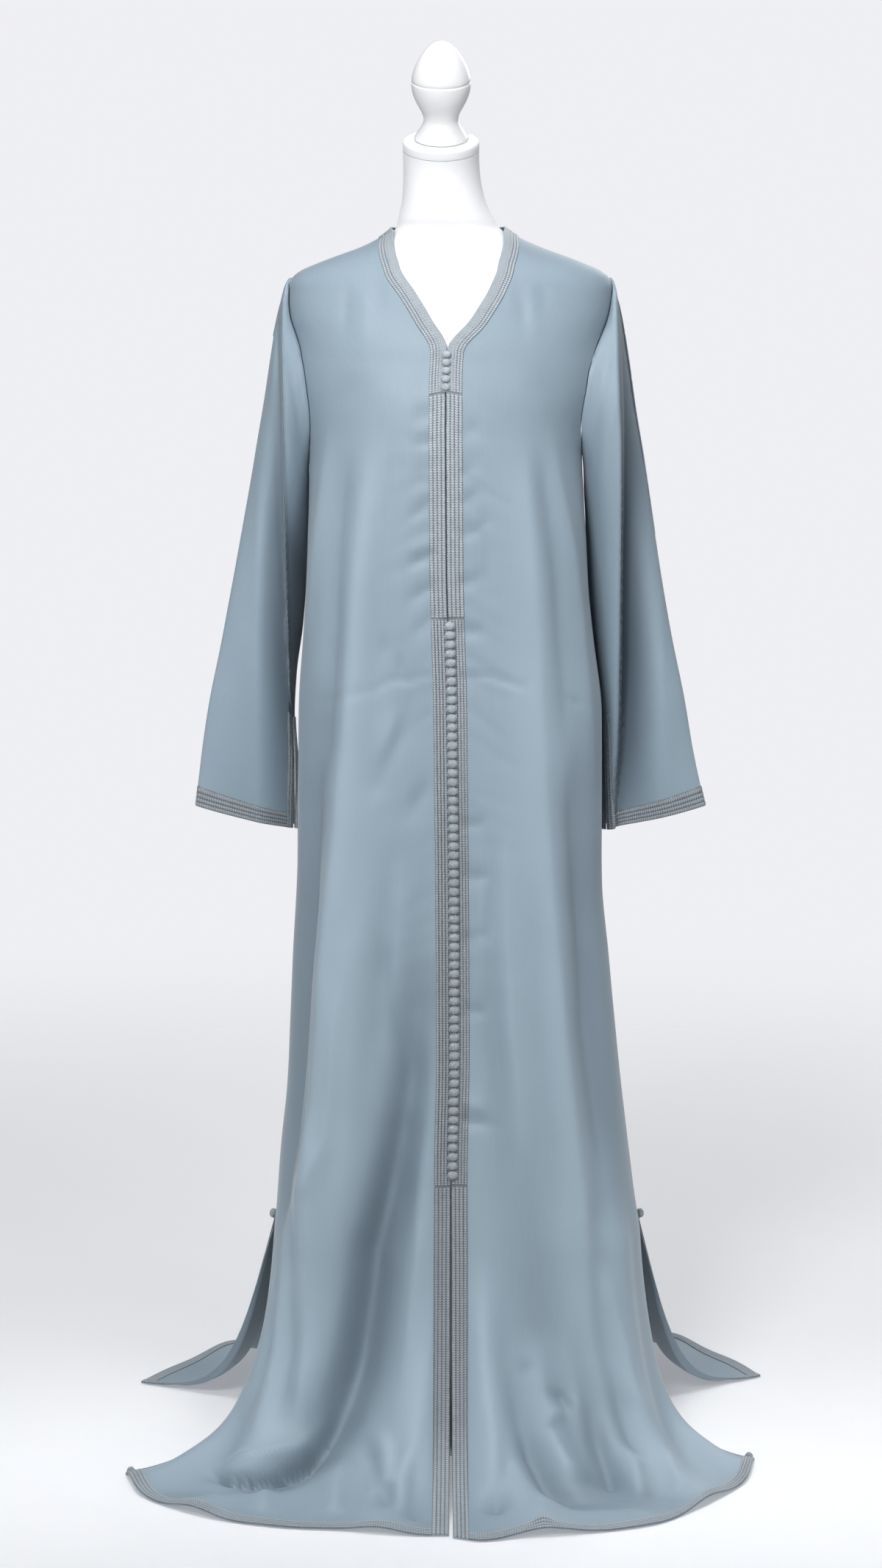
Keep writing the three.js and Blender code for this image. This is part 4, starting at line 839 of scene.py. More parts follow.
CREASES_FRONT_RIGHT = [
    ([(640, 0.12, 0), (540, 0.135, -7), (449, 0.175, -15), (402, 0.2, -20), (338, 0.235, -26),
      (268, 0.27, -29), (195, 0.315, -30), (149, 0.36, -25), (115, 0.4, -14),
      (90, 0.45, -4)], (24, 34)),
    ([(165, 0.35, 0), (122, 0.396, -10), (102, 0.429, -20), (82, 0.473, -27), (66, 0.538, -27),
      (57, 0.62, -20), (54, 0.72, 0)], (7, 11)),
    ([(165, 0.37, 0), (142, 0.41, 5), (120, 0.44, 9), (101, 0.49, 11), (84, 0.55, 10),
      (76, 0.68, 0)], (10, 12)),
    ([(671, 0.41, 0), (595, 0.42, 3), (536, 0.44, 5), (460, 0.445, 6), (390, 0.455, 6),
      (344, 0.49, 5), (310, 0.56, 0)], (7, 12)),
    ([(600, 0.52, 0), (520, 0.53, -5), (440, 0.54, -7), (370, 0.57, -5), (330, 0.6, 0)], (12, 14)),
    ([(665, 0.286, 0), (601, 0.264, -4), (536, 0.22, -6), (490, 0.165, -3),
      (450, 0.13, 0)], (14, 18)),
    ([(580, 0.09, 0), (449, 0.1, 4), (355, 0.12, 7), (268, 0.135, 8), (222, 0.155, 7),
      (170, 0.18, 4), (110, 0.2, 0)], (10, 14)),
    ([(1281, 0.418, 0), (1161, 0.385, 5.1), (1027, 0.407, 6.8), (892, 0.429, 8.5),
      (776, 0.462, 10.2), (665, 0.495, 11.9), (530, 0.505, 13.6), (437, 0.516, 13.6),
      (320, 0.505, 13.6), (235, 0.505, 11.9), (185, 0.495, 8.5), (129, 0.505, 0)], (16, 40)),
    ([(980, 0.571, 0), (886, 0.582, -8.5), (770, 0.604, -15.3), (659, 0.637, -18.7),
      (519, 0.659, -20.4), (408, 0.67, -17), (320, 0.648, -8.5), (262, 0.648, 0)], (34, 22)),
    ([(344, 0.582, 0), (255, 0.582, 8.5), (209, 0.56, 11.9), (169, 0.571, 10.2),
      (109, 0.615, 0)], (11, 12)),
    ([(259, 0.659, 0), (215, 0.659, 8.5), (175, 0.67, 10.2), (119, 0.714, 0)], (11, 12)),
    ([(437, 0.505, 0), (332, 0.473, 5.1), (239, 0.473, 6.8), (169, 0.462, 8.5),
      (115, 0.473, 0)], (11, 12)),
    ([(344, 0.56, 0), (249, 0.527, -6.8), (199, 0.516, -10.2), (159, 0.527, -8.5),
      (109, 0.56, 0)], (16, 16)),
    ([(135, 0.286, 0), (102, 0.231, -6), (52, 0.187, -9), (20, 0.17, 0)], (10, 12)),
    ([(132, 0.154, 0), (102, 0.176, -4), (59, 0.187, -5), (24, 0.19, 0)], (9, 10)),
    ([(149, 0.231, 0), (112, 0.209, 6.8), (79, 0.198, 8.5)], (13, 12)),
    ([(112, 0.33, 0), (72, 0.319, 8.5), (39, 0.308, 10.2)], (13, 12)),
    ([(129, 0.11, 0), (79, 0.121, -6.8), (32, 0.121, -8.5)], (13, 12)),
    ([(92, 0.505, 0), (69, 0.505, 6.8), (29, 0.473, 8.5)], (13, 12)),
    ([(1248, 0.516, 0), (1178, 0.505, -4), (1027, 0.495, -6.8), (892, 0.516, -6),
      (816, 0.538, 0)], (16, 16)),
    ([(1295, 0.725, 0), (1202, 0.637, 3.5), (1114, 0.659, 4.2), (1038, 0.692, 3.2),
      (974, 0.703, 0)], (14, 16)),
    ([(1274, 0.308, 0), (1161, 0.286, -2.6), (1027, 0.308, -3.2), (892, 0.33, -2.6),
      (787, 0.352, 0)], (16, 16)),
    ([(787, 0.242, 0), (671, 0.275, -4), (554, 0.297, -4), (443, 0.319, 0)], (16, 16)),
    ([(729, 0.352, 0), (624, 0.374, 4), (490, 0.385, 5.1), (350, 0.385, 6),
      (239, 0.396, 0)], (16, 16)),
    ([(758, 0.22, 0), (671, 0.22, 3.2), (583, 0.242, 3.5), (484, 0.264, 0)], (16, 16)),
    ([(951, 0.165, 0), (892, 0.22, -3.8), (840, 0.297, -2.6), (811, 0.33, 0)], (12, 10)),
    ([(939, 0.209, 0), (892, 0.264, 2.9), (851, 0.33, 0)], (12, 10)),
    ([(863, 0.067, 0), (816, 0.143, -3.5), (781, 0.187, 0)], (12, 10)),
    ([(968, 0.099, -1.9), (962, 0.176, -2.2), (962, 0.242, -1.9), (951, 0.319, -1.3),
      (945, 0.385, -1.4), (933, 0.527, -1.3), (922, 0.637, 0)], (5, 3)),
    ([(1003, 0.209, 0), (980, 0.209, -1.9), (962, 0.209, 0)], (5, 3)),
    ([(1027, 0.264, 0), (1003, 0.275, -1.6), (980, 0.286, 0)], (5, 3)),
    ([(1432, 0.33, 0), (1398, 0.451, -1.9), (1353, 0.582, 0)], (9, 9)),
    ([(1440, 0.067, 0), (1398, 0.176, -1.6), (1364, 0.275, 0)], (9, 9)),
    ([(1436, 0.176, 0), (1389, 0.33, 1.3), (1348, 0.473, 0)], (9, 9)),
    ([(1302, 0.846, 0), (1316, 0.604, -1.9), (1302, 0.352, 0)], (20, 16)),
    ([(1267, 0.077, -2.2), (1267, 0.132, -2.2), (1260, 0.198, 0)], (7, 7)),
    ([(1242, 0.077, -2.6), (1242, 0.132, -2.4), (1236, 0.209, 0)], (7, 7)),
    ([(1219, 0.077, -2.6), (1219, 0.121, -2.4), (1207, 0.187, 0)], (7, 7)),
    ([(1202, 0.077, -1.9), (1202, 0.121, -1.8), (1190, 0.165, 0)], (7, 7)),
    ([(1172, 0.077, -2.2), (1167, 0.121, -2.1), (1155, 0.187, 0)], (7, 7)),
    ([(1114, 0.077, -3.8), (1108, 0.132, -3.7), (1097, 0.187, 0)], (7, 7)),
    ([(1126, 0.077, 1.6), (1120, 0.132, 1.6), (1114, 0.176, 0)], (7, 7)),
    ([(1073, 0.077, -2.9), (1067, 0.121, -2.9), (1050, 0.198, 0)], (7, 7)),
    ([(1038, 0.077, -2.6), (1027, 0.121, -2.4), (1015, 0.176, 0)], (7, 7)),
]
CREASES_FRONT_LEFT = [
    ([(1281, 0.451, 0), (1161, 0.374, 5.1), (1044, 0.374, 6.8), (939, 0.374, 8.5),
      (805, 0.385, 10.2), (636, 0.407, 11.9), (548, 0.418, 13.6), (443, 0.429, 13.6),
      (320, 0.44, 13.6), (235, 0.429, 11.9), (172, 0.44, 10.2), (112, 0.429, 6.8),
      (79, 0.429, 0)], (40, 16)),
    ([(892, 0.495, 0), (776, 0.516, -11.9), (665, 0.538, -17), (530, 0.527, -18.7),
      (420, 0.538, -17), (326, 0.538, -10.2), (259, 0.538, 0)], (22, 34)),
    ([(1288, 0.637, 0), (1202, 0.56, 3.2), (1120, 0.604, 4.2), (1038, 0.637, 3.8),
      (933, 0.626, 3.2), (805, 0.659, 0)], (16, 14)),
    ([(1248, 0.505, 0), (1178, 0.473, -3.8), (1073, 0.495, -5.8), (939, 0.484, -5.1),
      (840, 0.495, 0)], (16, 16)),
    ([(822, 0.22, 0), (636, 0.22, 5.1), (525, 0.231, 6.8), (425, 0.253, 6),
      (320, 0.253, 0)], (14, 14)),
    ([(805, 0.165, 0), (671, 0.176, -3.2), (536, 0.176, -5.1), (390, 0.198, -3.2),
      (285, 0.198, 0)], (14, 14)),
    ([(758, 0.33, 0), (624, 0.341, -4), (513, 0.341, -5.1), (390, 0.363, -5.1),
      (262, 0.352, 0)], (14, 14)),
    ([(245, 0.18, 0), (195, 0.187, -4), (145, 0.209, -12), (109, 0.231, -19), (75, 0.264, -23),
      (55, 0.319, -20), (48, 0.396, -10), (46, 0.45, 0)], (13, 18)),
    ([(268, 0.121, 0), (205, 0.121, 8.5), (145, 0.132, 11.9), (92, 0.143, 10.2),
      (42, 0.165, 0)], (22, 16)),
    ([(219, 0.264, 0), (179, 0.286, 10.2), (135, 0.297, 13.6), (99, 0.33, 13.6),
      (82, 0.385, 0)], (16, 20)),
    ([(129, 0.165, 0), (89, 0.165, -8.5), (49, 0.143, -11.9)], (14, 14)),
    ([(259, 0.484, 0), (229, 0.505, 8.5), (195, 0.527, 10.2), (159, 0.538, 10.2),
      (112, 0.593, 0)], (11, 12)),
    ([(189, 0.429, 0), (149, 0.429, -10.2), (112, 0.429, -13.6), (79, 0.429, -10.2),
      (65, 0.44, 0)], (11, 12)),
    ([(185, 0.495, 0), (145, 0.505, -8.5), (109, 0.516, -8.5), (82, 0.527, 0)], (11, 12)),
    ([(225, 0.396, 0), (172, 0.407, -6.8), (125, 0.407, -8.5), (89, 0.407, 0)], (11, 12)),
    ([(119, 0.495, 0), (89, 0.495, 8.5), (59, 0.484, 10.2)], (11, 12)),
    ([(62, 0.242, 0), (39, 0.242, 6.8), (12, 0.231, 8.5)], (11, 12)),
    ([(95, 0.604, 0), (65, 0.593, 6.8), (39, 0.593, 6.8)], (11, 12)),
    ([(172, 0.286, 0), (165, 0.33, -6), (165, 0.363, 0)], (8, 8)),
    ([(152, 0.308, 0), (159, 0.352, -5.1), (149, 0.385, 0)], (8, 8)),
    ([(139, 0.286, 0), (152, 0.319, 5.1), (162, 0.341, 0)], (8, 8)),
    ([(125, 0.264, 0), (139, 0.297, -4), (132, 0.33, 0)], (8, 8)),
    ([(169, 0.374, 0), (159, 0.374, 4), (145, 0.374, 0)], (8, 8)),
    ([(195, 0.22, 0), (189, 0.242, -3.2), (189, 0.286, 0)], (8, 8)),
    ([(968, 0.058, -1.9), (968, 0.165, -2.2), (962, 0.242, -1.8), (957, 0.308, -1.4),
      (968, 0.352, 0)], (5, 3)),
    ([(945, 0.451, 0), (933, 0.549, -1.9), (922, 0.703, 0)], (5, 3)),
    ([(787, 0.067, -3.2), (787, 0.11, -3.2), (799, 0.154, 0)], (8, 8)),
    ([(723, 0.067, -2.9), (723, 0.121, -3.2), (717, 0.165, 0)], (8, 8)),
    ([(647, 0.067, -2.6), (653, 0.121, -2.9), (641, 0.165, 0)], (8, 8)),
    ([(560, 0.067, -3.2), (560, 0.11, -3.5), (554, 0.154, 0)], (8, 8)),
    ([(425, 0.067, -4.2), (425, 0.11, -4.5), (420, 0.165, -1.6), (408, 0.198, 0)], (8, 8)),
    ([(449, 0.067, 2.6), (443, 0.11, 2.6), (437, 0.143, 0)], (8, 8)),
    ([(781, 0.11, 0), (717, 0.132, 2.4), (653, 0.121, 2.4), (565, 0.132, 0)], (8, 8)),
    ([(1420, 0.077, 0), (1389, 0.231, -1.9), (1348, 0.407, 0)], (9, 9)),
    ([(1428, 0.242, 0), (1407, 0.341, -1.6), (1384, 0.473, 0)], (9, 9)),
    ([(1416, 0.187, 0), (1384, 0.341, 1.4), (1353, 0.484, 0)], (9, 9)),
    ([(1369, 0.058, 0), (1393, 0.038, -1.3), (1416, 0.019, 0)], (9, 9)),
    ([(1302, 0.813, 0), (1316, 0.615, -1.9), (1309, 0.396, 0)], (20, 16)),
    ([(1248, 0.077, -2.2), (1254, 0.132, -2.2), (1260, 0.209, 0)], (7, 7)),
    ([(1213, 0.077, -2.6), (1219, 0.121, -2.2), (1236, 0.22, 0)], (7, 7)),
    ([(1178, 0.077, -2.2), (1184, 0.121, -2.2), (1196, 0.176, 0)], (7, 7)),
    ([(1137, 0.077, -2.9), (1143, 0.132, -2.6), (1161, 0.22, 0)], (7, 7)),
    ([(1079, 0.067, -2.6), (1085, 0.121, -2.4), (1091, 0.198, 0)], (7, 7)),
    ([(1021, 0.067, -2.6), (1021, 0.121, -2.4), (1032, 0.176, 0)], (7, 7)),
    ([(1161, 0.154, 0), (1108, 0.176, -1.9), (1044, 0.176, 0)], (7, 7)),
]


def braid_puckers(seed):
    """Short slanting puckers where the braid holds the cloth a little short."""
    rng = np.random.default_rng(seed)
    creases = []
    for z in np.arange(1330, 560, -31.0):
        z += rng.uniform(-7, 7)
        reach = rng.uniform(0.16, 0.30)
        fall = rng.uniform(18, 52)
        rise = rng.uniform(0.5, 1.2) * (1 if z > 900 else 0.7)
        creases.append(([(z, 0.085, -rise), (z - fall * 0.5, 0.085 + reach * 0.45, -rise * 0.7),
                         (z - fall, 0.085 + reach, 0)], rng.uniform(5, 8)))
    return creases


def angle_at_x(x, z, side):
    """Angle at which the cloth of one front reaches a given x."""
    low = np.full(np.shape(z), -0.5)
    high = np.full(np.shape(z), np.pi / 2)
    for _ in range(34):
        middle = (low + high) / 2
        short = (gown_point(middle * side, z)[..., 0] - x) * side < 0
        low = np.where(short, middle, low)
        high = np.where(short, high, middle)
    return low * side


FRONT_COLUMNS = 13              # the braid's strip first, the slit braid's strip last


def front_panel(side, hem, folds, creases, seed):
    """One front: rows from the neck and armhole to the underarm, down, and out to the hem."""
    columns = FRONT_COLUMNS
    column = np.concatenate([np.linspace(0, 1, 9), np.linspace(1, columns - 1, 78)[1:],
                             np.linspace(columns - 1, columns, 5)[1:]])
    arm = np.array(ARMHOLE, float)
    z0 = np.array(NECK_ROW_Z, float)
    neck_x = read_table(NECKLINE, z0)[:, 0 if side < 0 else 1]
    x = np.where(z0 >= V_FOOT_Z, neck_x, read_table(CENTRE_FRONT, z0)[:, 0])
    a0 = angle_at_x(x, z0, side)
    a0[0] = side * np.pi / 2
    a1 = np.radians(arm[:, 1 if side < 0 else 2]) * side
    w = np.linspace(0, 11, ARM_ROWS)
    spans = read_table(np.column_stack([-np.arange(12.0), a0, z0, a1, arm[:, 0]]), -w)
    down = np.linspace(UNDERARM_Z, SLIT_TOP_Z, BODY_ROWS + 1)[1:]
    middle = angle_at_x(read_table(CENTRE_FRONT, down)[:, 0], down, side)
    lower = np.column_stack([middle, down, np.full(len(down), side * np.pi / 2), down])
    spans = np.concatenate([spans, lower])
    t = np.linspace(0, 1, 65)
    angle = mix(spans[:, 0:1], spans[:, 2:3], t)
    z = mix(spans[:, 1:2], spans[:, 3:4], t)
    grid = []
    for path, span in zip(gown_point(angle, z), spans):
        lengths = path_lengths(path)
        lowest = min(span[1], span[3])
        parting = float(smooth(FRONT_PART_Z + 30, 0, lowest)) * FRONT_PART_GAP / 2
        gap = SEAM_GAP + (parting if span[1] < V_FOOT_Z else 0)
        at = strip_columns(column, columns, lengths[-1], BRAID_WIDTH, SLIT_BRAID_WIDTH,
                           SEAM_GAP)
        at = at + (gap - SEAM_GAP) * np.clip(1 - column / columns, 0, 1)
        grid.append(along_path(path, lengths, at))
    grid = np.stack(grid)
    height = (spans[:, 1] + spans[:, 3]) / 2
    share = column / columns
    grid, height = to_hem(grid, column, height, hem, columns, (BRAID_WIDTH, SLIT_BRAID_WIDTH),
                          share, DROP_FRONT)
    seam = (np.full(len(column), side), -SEAM_GAP)
    panel = hang(grid, height, share, side, folds, creases, seed, seam)
    panel["column"] = column
    return panel


front_right = front_panel(-1, HEM_FRONT_RIGHT, FOLDS_FRONT_RIGHT,
                          CREASES_FRONT_RIGHT + braid_puckers(11), 5)
front_left = front_panel(1, HEM_FRONT_LEFT, FOLDS_FRONT_LEFT,
                         CREASES_FRONT_LEFT + braid_puckers(12), 6)
gown_front_right = cloth_piece("gown_front_right", front_right, crepe)
gown_front_left = cloth_piece("gown_front_left", front_left, crepe)
for piece, node in ((gown_front_right, "front_right_panel"),
                    (gown_front_left, "front_left_panel")):
    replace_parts(piece, node)
    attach(piece, "root")


# ------------------------------------------------------------------ sleeves
# Two straight sleeves of the crepe, each one cut set into the armhole and closed by a seam
# under the arm. They hang empty, flattened a little, and the seam is open above the cuff.

SLEEVE_SLIT_Z = 950.0
SLEEVE_SLIT_GAP = 5.0
SLEEVE_TURN = 42.0              # the under edge hangs this far behind the outer edge
SLEEVE_RIGHT = [                # outer edge x, z; under edge x, z; middle y; half depth
    [-196, 1419, -164, 1206, 4, 60], [-203, 1385, -163.2, 1181, 2, 68],
    [-211, 1340, -164, 1150, 0, 72], [-219, 1286, -165.8, 1112, -3, 72],
    [-230, 1222, -168.3, 1066, -6, 70], [-243, 1150, -172.4, 1010, -9, 65],
    [-257, 1073, -180.5, 950, -11, 59], [-271, 1000, -184, 896, -12, 53],
    [-286, 925, -180.8, 842, -13, 44], [-297, 860, -179.6, 803, -13, 37],
    [-303, 815, -179.8, 773, -13, 32], [-306, 790, -180, 755, -13, 30],
]
SLEEVE_LEFT = [
    [215, 1421, 177, 1206, 4, 60], [223, 1385, 177.1, 1181, 2, 68],
    [231, 1340, 179.1, 1150, 0, 72], [239, 1286, 181, 1112, -3, 72],
    [250, 1222, 183.5, 1066, -6, 70], [261, 1150, 189.3, 1010, -9, 65],
    [273, 1073, 196, 950, -11, 59], [286, 1000, 200.6, 896, -12, 53],
    [302, 925, 201.2, 842, -13, 44], [314, 860, 201.4, 803, -13, 37],
    [324, 815, 201.6, 773, -13, 32], [330, 790, 202, 755, -13, 30],
]
# A ridge hangs from the front of the armhole, with a fold sunk in the cloth outside it:
# height, the ridge's x, how deep and how wide the fold is, and how fast the cloth inside
# the ridge turns away.
RIDGE_RIGHT = [
    [1400, -198, 0, 10, 1.6], [1350, -196, 9, 12, 1.8], [1280, -194, 17, 14, 2.2],
    [1200, -192, 22, 26, 1.8], [1120, -191, 26, 36, 1.2], [1000, -188, 26, 42, 1.0],
    [900, -184, 22, 46, 1.2], [790, -182, 14, 48, 1.5],
]
RIDGE_LEFT = [
    [1400, 205, 0, 16, 2.0], [1350, 214, 9, 24, 2.4], [1280, 218, 16, 28, 3.4],
    [1200, 222, 23, 34, 4.0], [1120, 223, 28, 44, 4.0], [1000, 223, 29, 52, 4.2],
    [900, 222, 25, 58, 4.2], [840, 219, 20, 62, 3.6], [790, 216, 14, 66, 3.0],
]
SLEEVE_COLUMNS = 22             # from one edge of the seam round to the other
SLEEVE_RINGS = 121              # from the armhole to the cuff
RINGS_ON_GOWN = 8               # more rings inside the armhole
FULL_FOLD = 26.0                # depth of a ridge's fold whose painted shade is full, mm
ARMHOLE_MIDDLE_Z, ARMHOLE_HALF = 1333, 108
SLEEVE_TWIST = np.radians(24)   # the seam turns to the back on its way down


def sleeve_panel(side, table, ridge, seed):
    """One sleeve: rings of the table, the ridge's fold, and the edge held in the armhole."""
    columns = SLEEVE_COLUMNS
    w = np.linspace(0, 11, 67)
    arm = read_table(np.column_stack([-np.arange(12.0), ARMHOLE]), -w)
    ahead = gown_point(np.radians(arm[::-1, 1 if side < 0 else 2]) * side, arm[::-1, 0])
    rear = gown_point((np.pi - np.radians(arm[:, 3 if side < 0 else 4])) * side, arm[:, 0])
    mouth = np.concatenate([ahead, rear[1:]])
    column = np.linspace(0, columns, len(mouth))
    sign = np.where(column <= columns / 2, 1, -1)
    from_middle = (mouth[:, 2] - ARMHOLE_MIDDLE_Z) / ARMHOLE_HALF
    start = sign * np.arccos(np.clip(from_middle, -1, 1))
    start[len(start) // 2] = 0
    table = np.array(table, float)
    before = 2 * table[0] - table[1]
    ring = np.concatenate([np.linspace(-1, 0, RINGS_ON_GOWN + 1),
                           np.linspace(0, 11, SLEEVE_RINGS + 1)[1:]])
    rows = read_table(np.column_stack([-np.arange(-1.0, 12.0), np.vstack([before, table])]),
                      -ring)
    grid, shaded = [], []
    for r, (ox, oz, ix, iz, y, depth) in zip(ring, rows):
        share = (r + 1) / len(table)
        middle = np.array([(ox + ix) / 2, y, (oz + iz) / 2])
        reach = np.array([(ox - ix) / 2, 0, (oz - iz) / 2])
        even = smooth(0, 0.5, share)
        twist = SLEEVE_TWIST * smooth(0.1, 0.9, share)
        gap = SEAM_GAP + smooth(SLEEVE_SLIT_Z + 40, 760, min(oz, iz)) * SLEEVE_SLIT_GAP / 2
        gap = 2 * gap / (np.pi * (depth + np.linalg.norm(reach)) / 2)
        phi = mix(start, np.pi * (1 - 2 * column / columns), even) - twist
        phi -= gap * np.clip(1 - column, 0, 1)
        phi += gap * np.clip(column - columns + 1, 0, 1)
        target = middle + reach * np.cos(phi)[:, None]
        inward = (1 - np.cos(phi)) / 2
        ridge_x, sunk, wide, turn = read_table(ridge, (oz + iz) / 2)
        at = (ox - ridge_x) / (ox - ix)
        crest = np.clip(at, 0.3, 0.93)
        rising = 1 - np.clip(1 - inward / crest, 0, 1) ** 1.9
        falling = 1 - np.clip((inward - crest) / (1 - crest), 0, 1) ** turn
        hung = np.where(inward < crest, rising, falling)
        outside = (at - inward) * abs(ox - ix)
        ahead = np.sin(phi) > 0
        fold = sunk * smooth(-1.5, 3, outside) * smooth(wide, 4, outside) * ahead
        # Painted shade: in the fold sunk outside the ridge, stronger on the left sleeve; under the
        # arm next to the body; and, on the right sleeve, inside the ridge low down.
        dark = sunk / FULL_FOLD * smooth(-6, -1, outside) * smooth(wide, 0, outside) * ahead
        dark = dark * (1.0 if side < 0 else 1.5)
        under_arm = smooth(1330, 1290, oz) * smooth(1140, 1180, iz)
        dark += smooth(24, 6, (1 - inward) * abs(ox - ix)) * ahead * under_arm
        if side < 0:
            dark += smooth(2, -5, outside) * smooth(1130, 1060, iz)
        full = np.abs(np.sin(phi))
        bulge = mix(full, hung, 0.75 * even)
        target[:, 1] -= depth * np.sign(np.sin(phi)) * bulge
        target[:, 1] += SLEEVE_TURN * even * inward + fold
        shaded.append(dark)
        hold = np.clip(1 - (r + 1) / 3, 0, 1) ** 2
        carried = mouth + np.outer(smooth(-1, -0.4, np.cos(phi)), [side * (r + 1) * 7, 0, 0])
        carried[:, 2] -= (r + 1) * 10
        point = mix(target, carried, hold)
        point[:, 0] += side * 0.8 * np.clip(-r, 0, 1)
        grid.append(point)
    grid = np.stack(grid)
    grid[0, 0, 1] -= SEAM_GAP
    grid[0, -1, 1] += SEAM_GAP
    normals = surface_normals(grid, side)
    height = np.repeat(ring[:, None], len(column), axis=1)
    share = np.repeat(column[None] / columns, len(ring), axis=0)
    rise = slack(grid, seed, 0.6) * smooth(-0.6, 1.0, height)
    crown = smooth(-1, -0.75, height) * smooth(0.6, -0.4, height)
    rise += 1.5 * crown
    rise *= smooth(0, 0.03, share) * smooth(1, 0.97, share) * smooth(-1, -0.8, height)
    grid = grid + normals * rise[..., None]
    normals = surface_normals(grid, side)
    return {"grid": grid, "normals": normals, "column": column, "fold": rise,
            "shade": np.stack(shaded)}


sleeve_right = sleeve_panel(-1, SLEEVE_RIGHT, RIDGE_RIGHT, 21)
sleeve_left = sleeve_panel(1, SLEEVE_LEFT, RIDGE_LEFT, 22)
gown_sleeve_right = cloth_piece("gown_sleeve_right", sleeve_right, crepe)
gown_sleeve_left = cloth_piece("gown_sleeve_left", sleeve_left, crepe)
for piece, node in ((gown_sleeve_right, "sleeve_right"), (gown_sleeve_left, "sleeve_left")):
    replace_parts(piece, node)
    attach(piece, "root")


# ------------------------------------------------------------------ braid on the edges
# Flat passementerie braid of silver-grey silk cords, machine-laid side by side and sewn over
# every edge. Four cords run down the fronts; round the V the inner half is a zigzag band.

BRAID_BASE = 0.55               # height of the ground between the cords, mm
CORD_RISE = 0.95                # height of a cord above it
CORD_START = 0.2                # from the braid's edge to its first cord
BAND_RISE = 0.35                # height of the zigzag band above the ground
STITCH = 3.0                    # length of one plait of a cord
STEP = 3.0                      # between two rows of a braid's mesh
BAND_WIDTH = 8.6                # zigzag band of the V
NECK_CORD = 3.8                 # pitch of the cords, round the V
FRONT_CORD = 4.95               # down the fronts
HEM_CORD = 4.7                  # on the hems and cuffs
SLIT_CORD = 4.4                 # on the side slits
SLEEVE_SLIT_BRAID_WIDTH = 14.0
SLEEVE_SLIT_CORD = 4.6
CORDS_AT, ZIGZAG_AT = 10, 20.0  # the first number of the cords' and the band's lay
ZIGZAG_FOOT_Z = 1309.0
KNOT_TOP_Z = 1028.0
KNOT_FOOT_Z = 360.0


def between(grid, rows, columns):
    """Points of a grid at whole or part rows and columns."""
    def weights(at, count):
        at = np.clip(at, 0, count - 1)
        low = np.minimum(at.astype(int), count - 2)
        return low, (at - low)
    i, s = weights(np.asarray(rows, float), grid.shape[0])
    j, t = weights(np.asarray(columns, float), grid.shape[1])
    s, t = s[:, None, None], t[None, :, None]
    upper = mix(grid[i][:, j], grid[i][:, j + 1], t)
    lower = mix(grid[i + 1][:, j], grid[i + 1][:, j + 1], t)
    return mix(upper, lower, s)


def column_index(panel, column):
    """Where a column of the cut lies among the columns of its mesh."""
    return np.interp(column, panel["column"], np.arange(len(panel["column"])))


def cords(u, first, pitch, last):
    """Height of the cords at u mm from the edge, and the place across each one."""
    phase = (u - first) / pitch
    across = phase - np.floor(phase)
    round_top = np.sqrt(np.clip(1 - (2 * across - 1) ** 2, 0, 1))
    on = (u >= first) & (u <= last + 1e-6)
    return np.where(on, BRAID_BASE + CORD_RISE * round_top, BRAID_BASE * 0.7), phase


def lay_braid(name, ground, normals, raised, place, finish, lift=0.12):
    """A strip of braid on the cloth: its face follows the cords, its back is flat."""
    rows, columns = ground.shape[:2]
    lifts = np.clip(raised, 0.1, None)
    lifts[:, 0] *= 0.6
    lifts[:, -1] *= 0.35
    face = ground + normals * (lift + lifts)[..., None]
    under = ground[:, [-1, 0]] + normals[:, [-1, 0]] * lift
    section = np.concatenate([face, under], axis=1)
    n = columns + 2
    points = section.reshape(-1, 3) + [AXIS_X, 0, 0]
    index = np.arange(rows * n).reshape(rows, n)
    after = np.roll(index, -1, axis=1)
    quads = np.stack([index[:-1], index[1:], after[1:], after[:-1]], -1).reshape(-1, 4)
    faces = quads.tolist() + [index[0].tolist(), index[-1, ::-1].tolist()]
    middle = rows // 2
    p, q, r = face[middle, 1], face[middle + 1, 1], face[middle, 2]
    if np.dot(np.cross(q - p, r - p), normals[middle, 1]) < 0:
        faces = [f[::-1] for f in faces]
    uv = np.zeros((rows, n, 2))
    uv[:, :columns] = place
    uv[:, columns] = place[:, -1]
    uv[:, columns + 1] = place[:, 0]
    piece = shape(name, points, faces, finish, uv=uv.reshape(-1, 2), soft=75)
    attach(piece, "root")
    return piece


def painted_light_from_above(recipe, where):
    """Painted light on the silk, lighter towards the neck where the light falls from above: 0 up
    to the hip, 1 at the chest.
    """
    return ((recipe.height(where) - 0.75) / 0.55).low(1.0).high(0.0)


silk, recipe, shader = new_finish("silver_grey_silk_braid", Sheen_Weight=0.3,
                                  Sheen_Roughness=0.3, IOR=1.5)
lay = recipe.add("ShaderNodeUVMap", {"uv_map": "lay"})
cord_at, down_at, _ = recipe.parts(lay)
zigzag = cord_at.above(ZIGZAG_AT - 1)
across = cord_at.fract()
bow = abs(2.0 * across - 1.0)
plait = abs(2.0 * (down_at + 0.5 * bow).fract() - 1.0)
bend = abs(2.0 * (across * 2.0).fract() - 1.0)
knitted = abs(2.0 * (down_at * 0.7 + 1.5 * bend).fract() - 1.0)
thread = zigzag * knitted + (1.0 - zigzag) * plait
groove = (1.0 - zigzag) * bow ** 3.0
where = recipe.add("ShaderNodeTexCoord", out="Object")
fibre = recipe.noise(where, 2200.0, 2.0)
uneven = recipe.noise(where, 120.0, 2.0)
lit = recipe.blend(uneven, (0.38, 0.425, 0.465, 1), (0.50, 0.545, 0.585, 1))
shaded_and_dark_silk = recipe.blend(uneven, (0.095, 0.115, 0.135, 1), (0.145, 0.17, 0.195, 1))
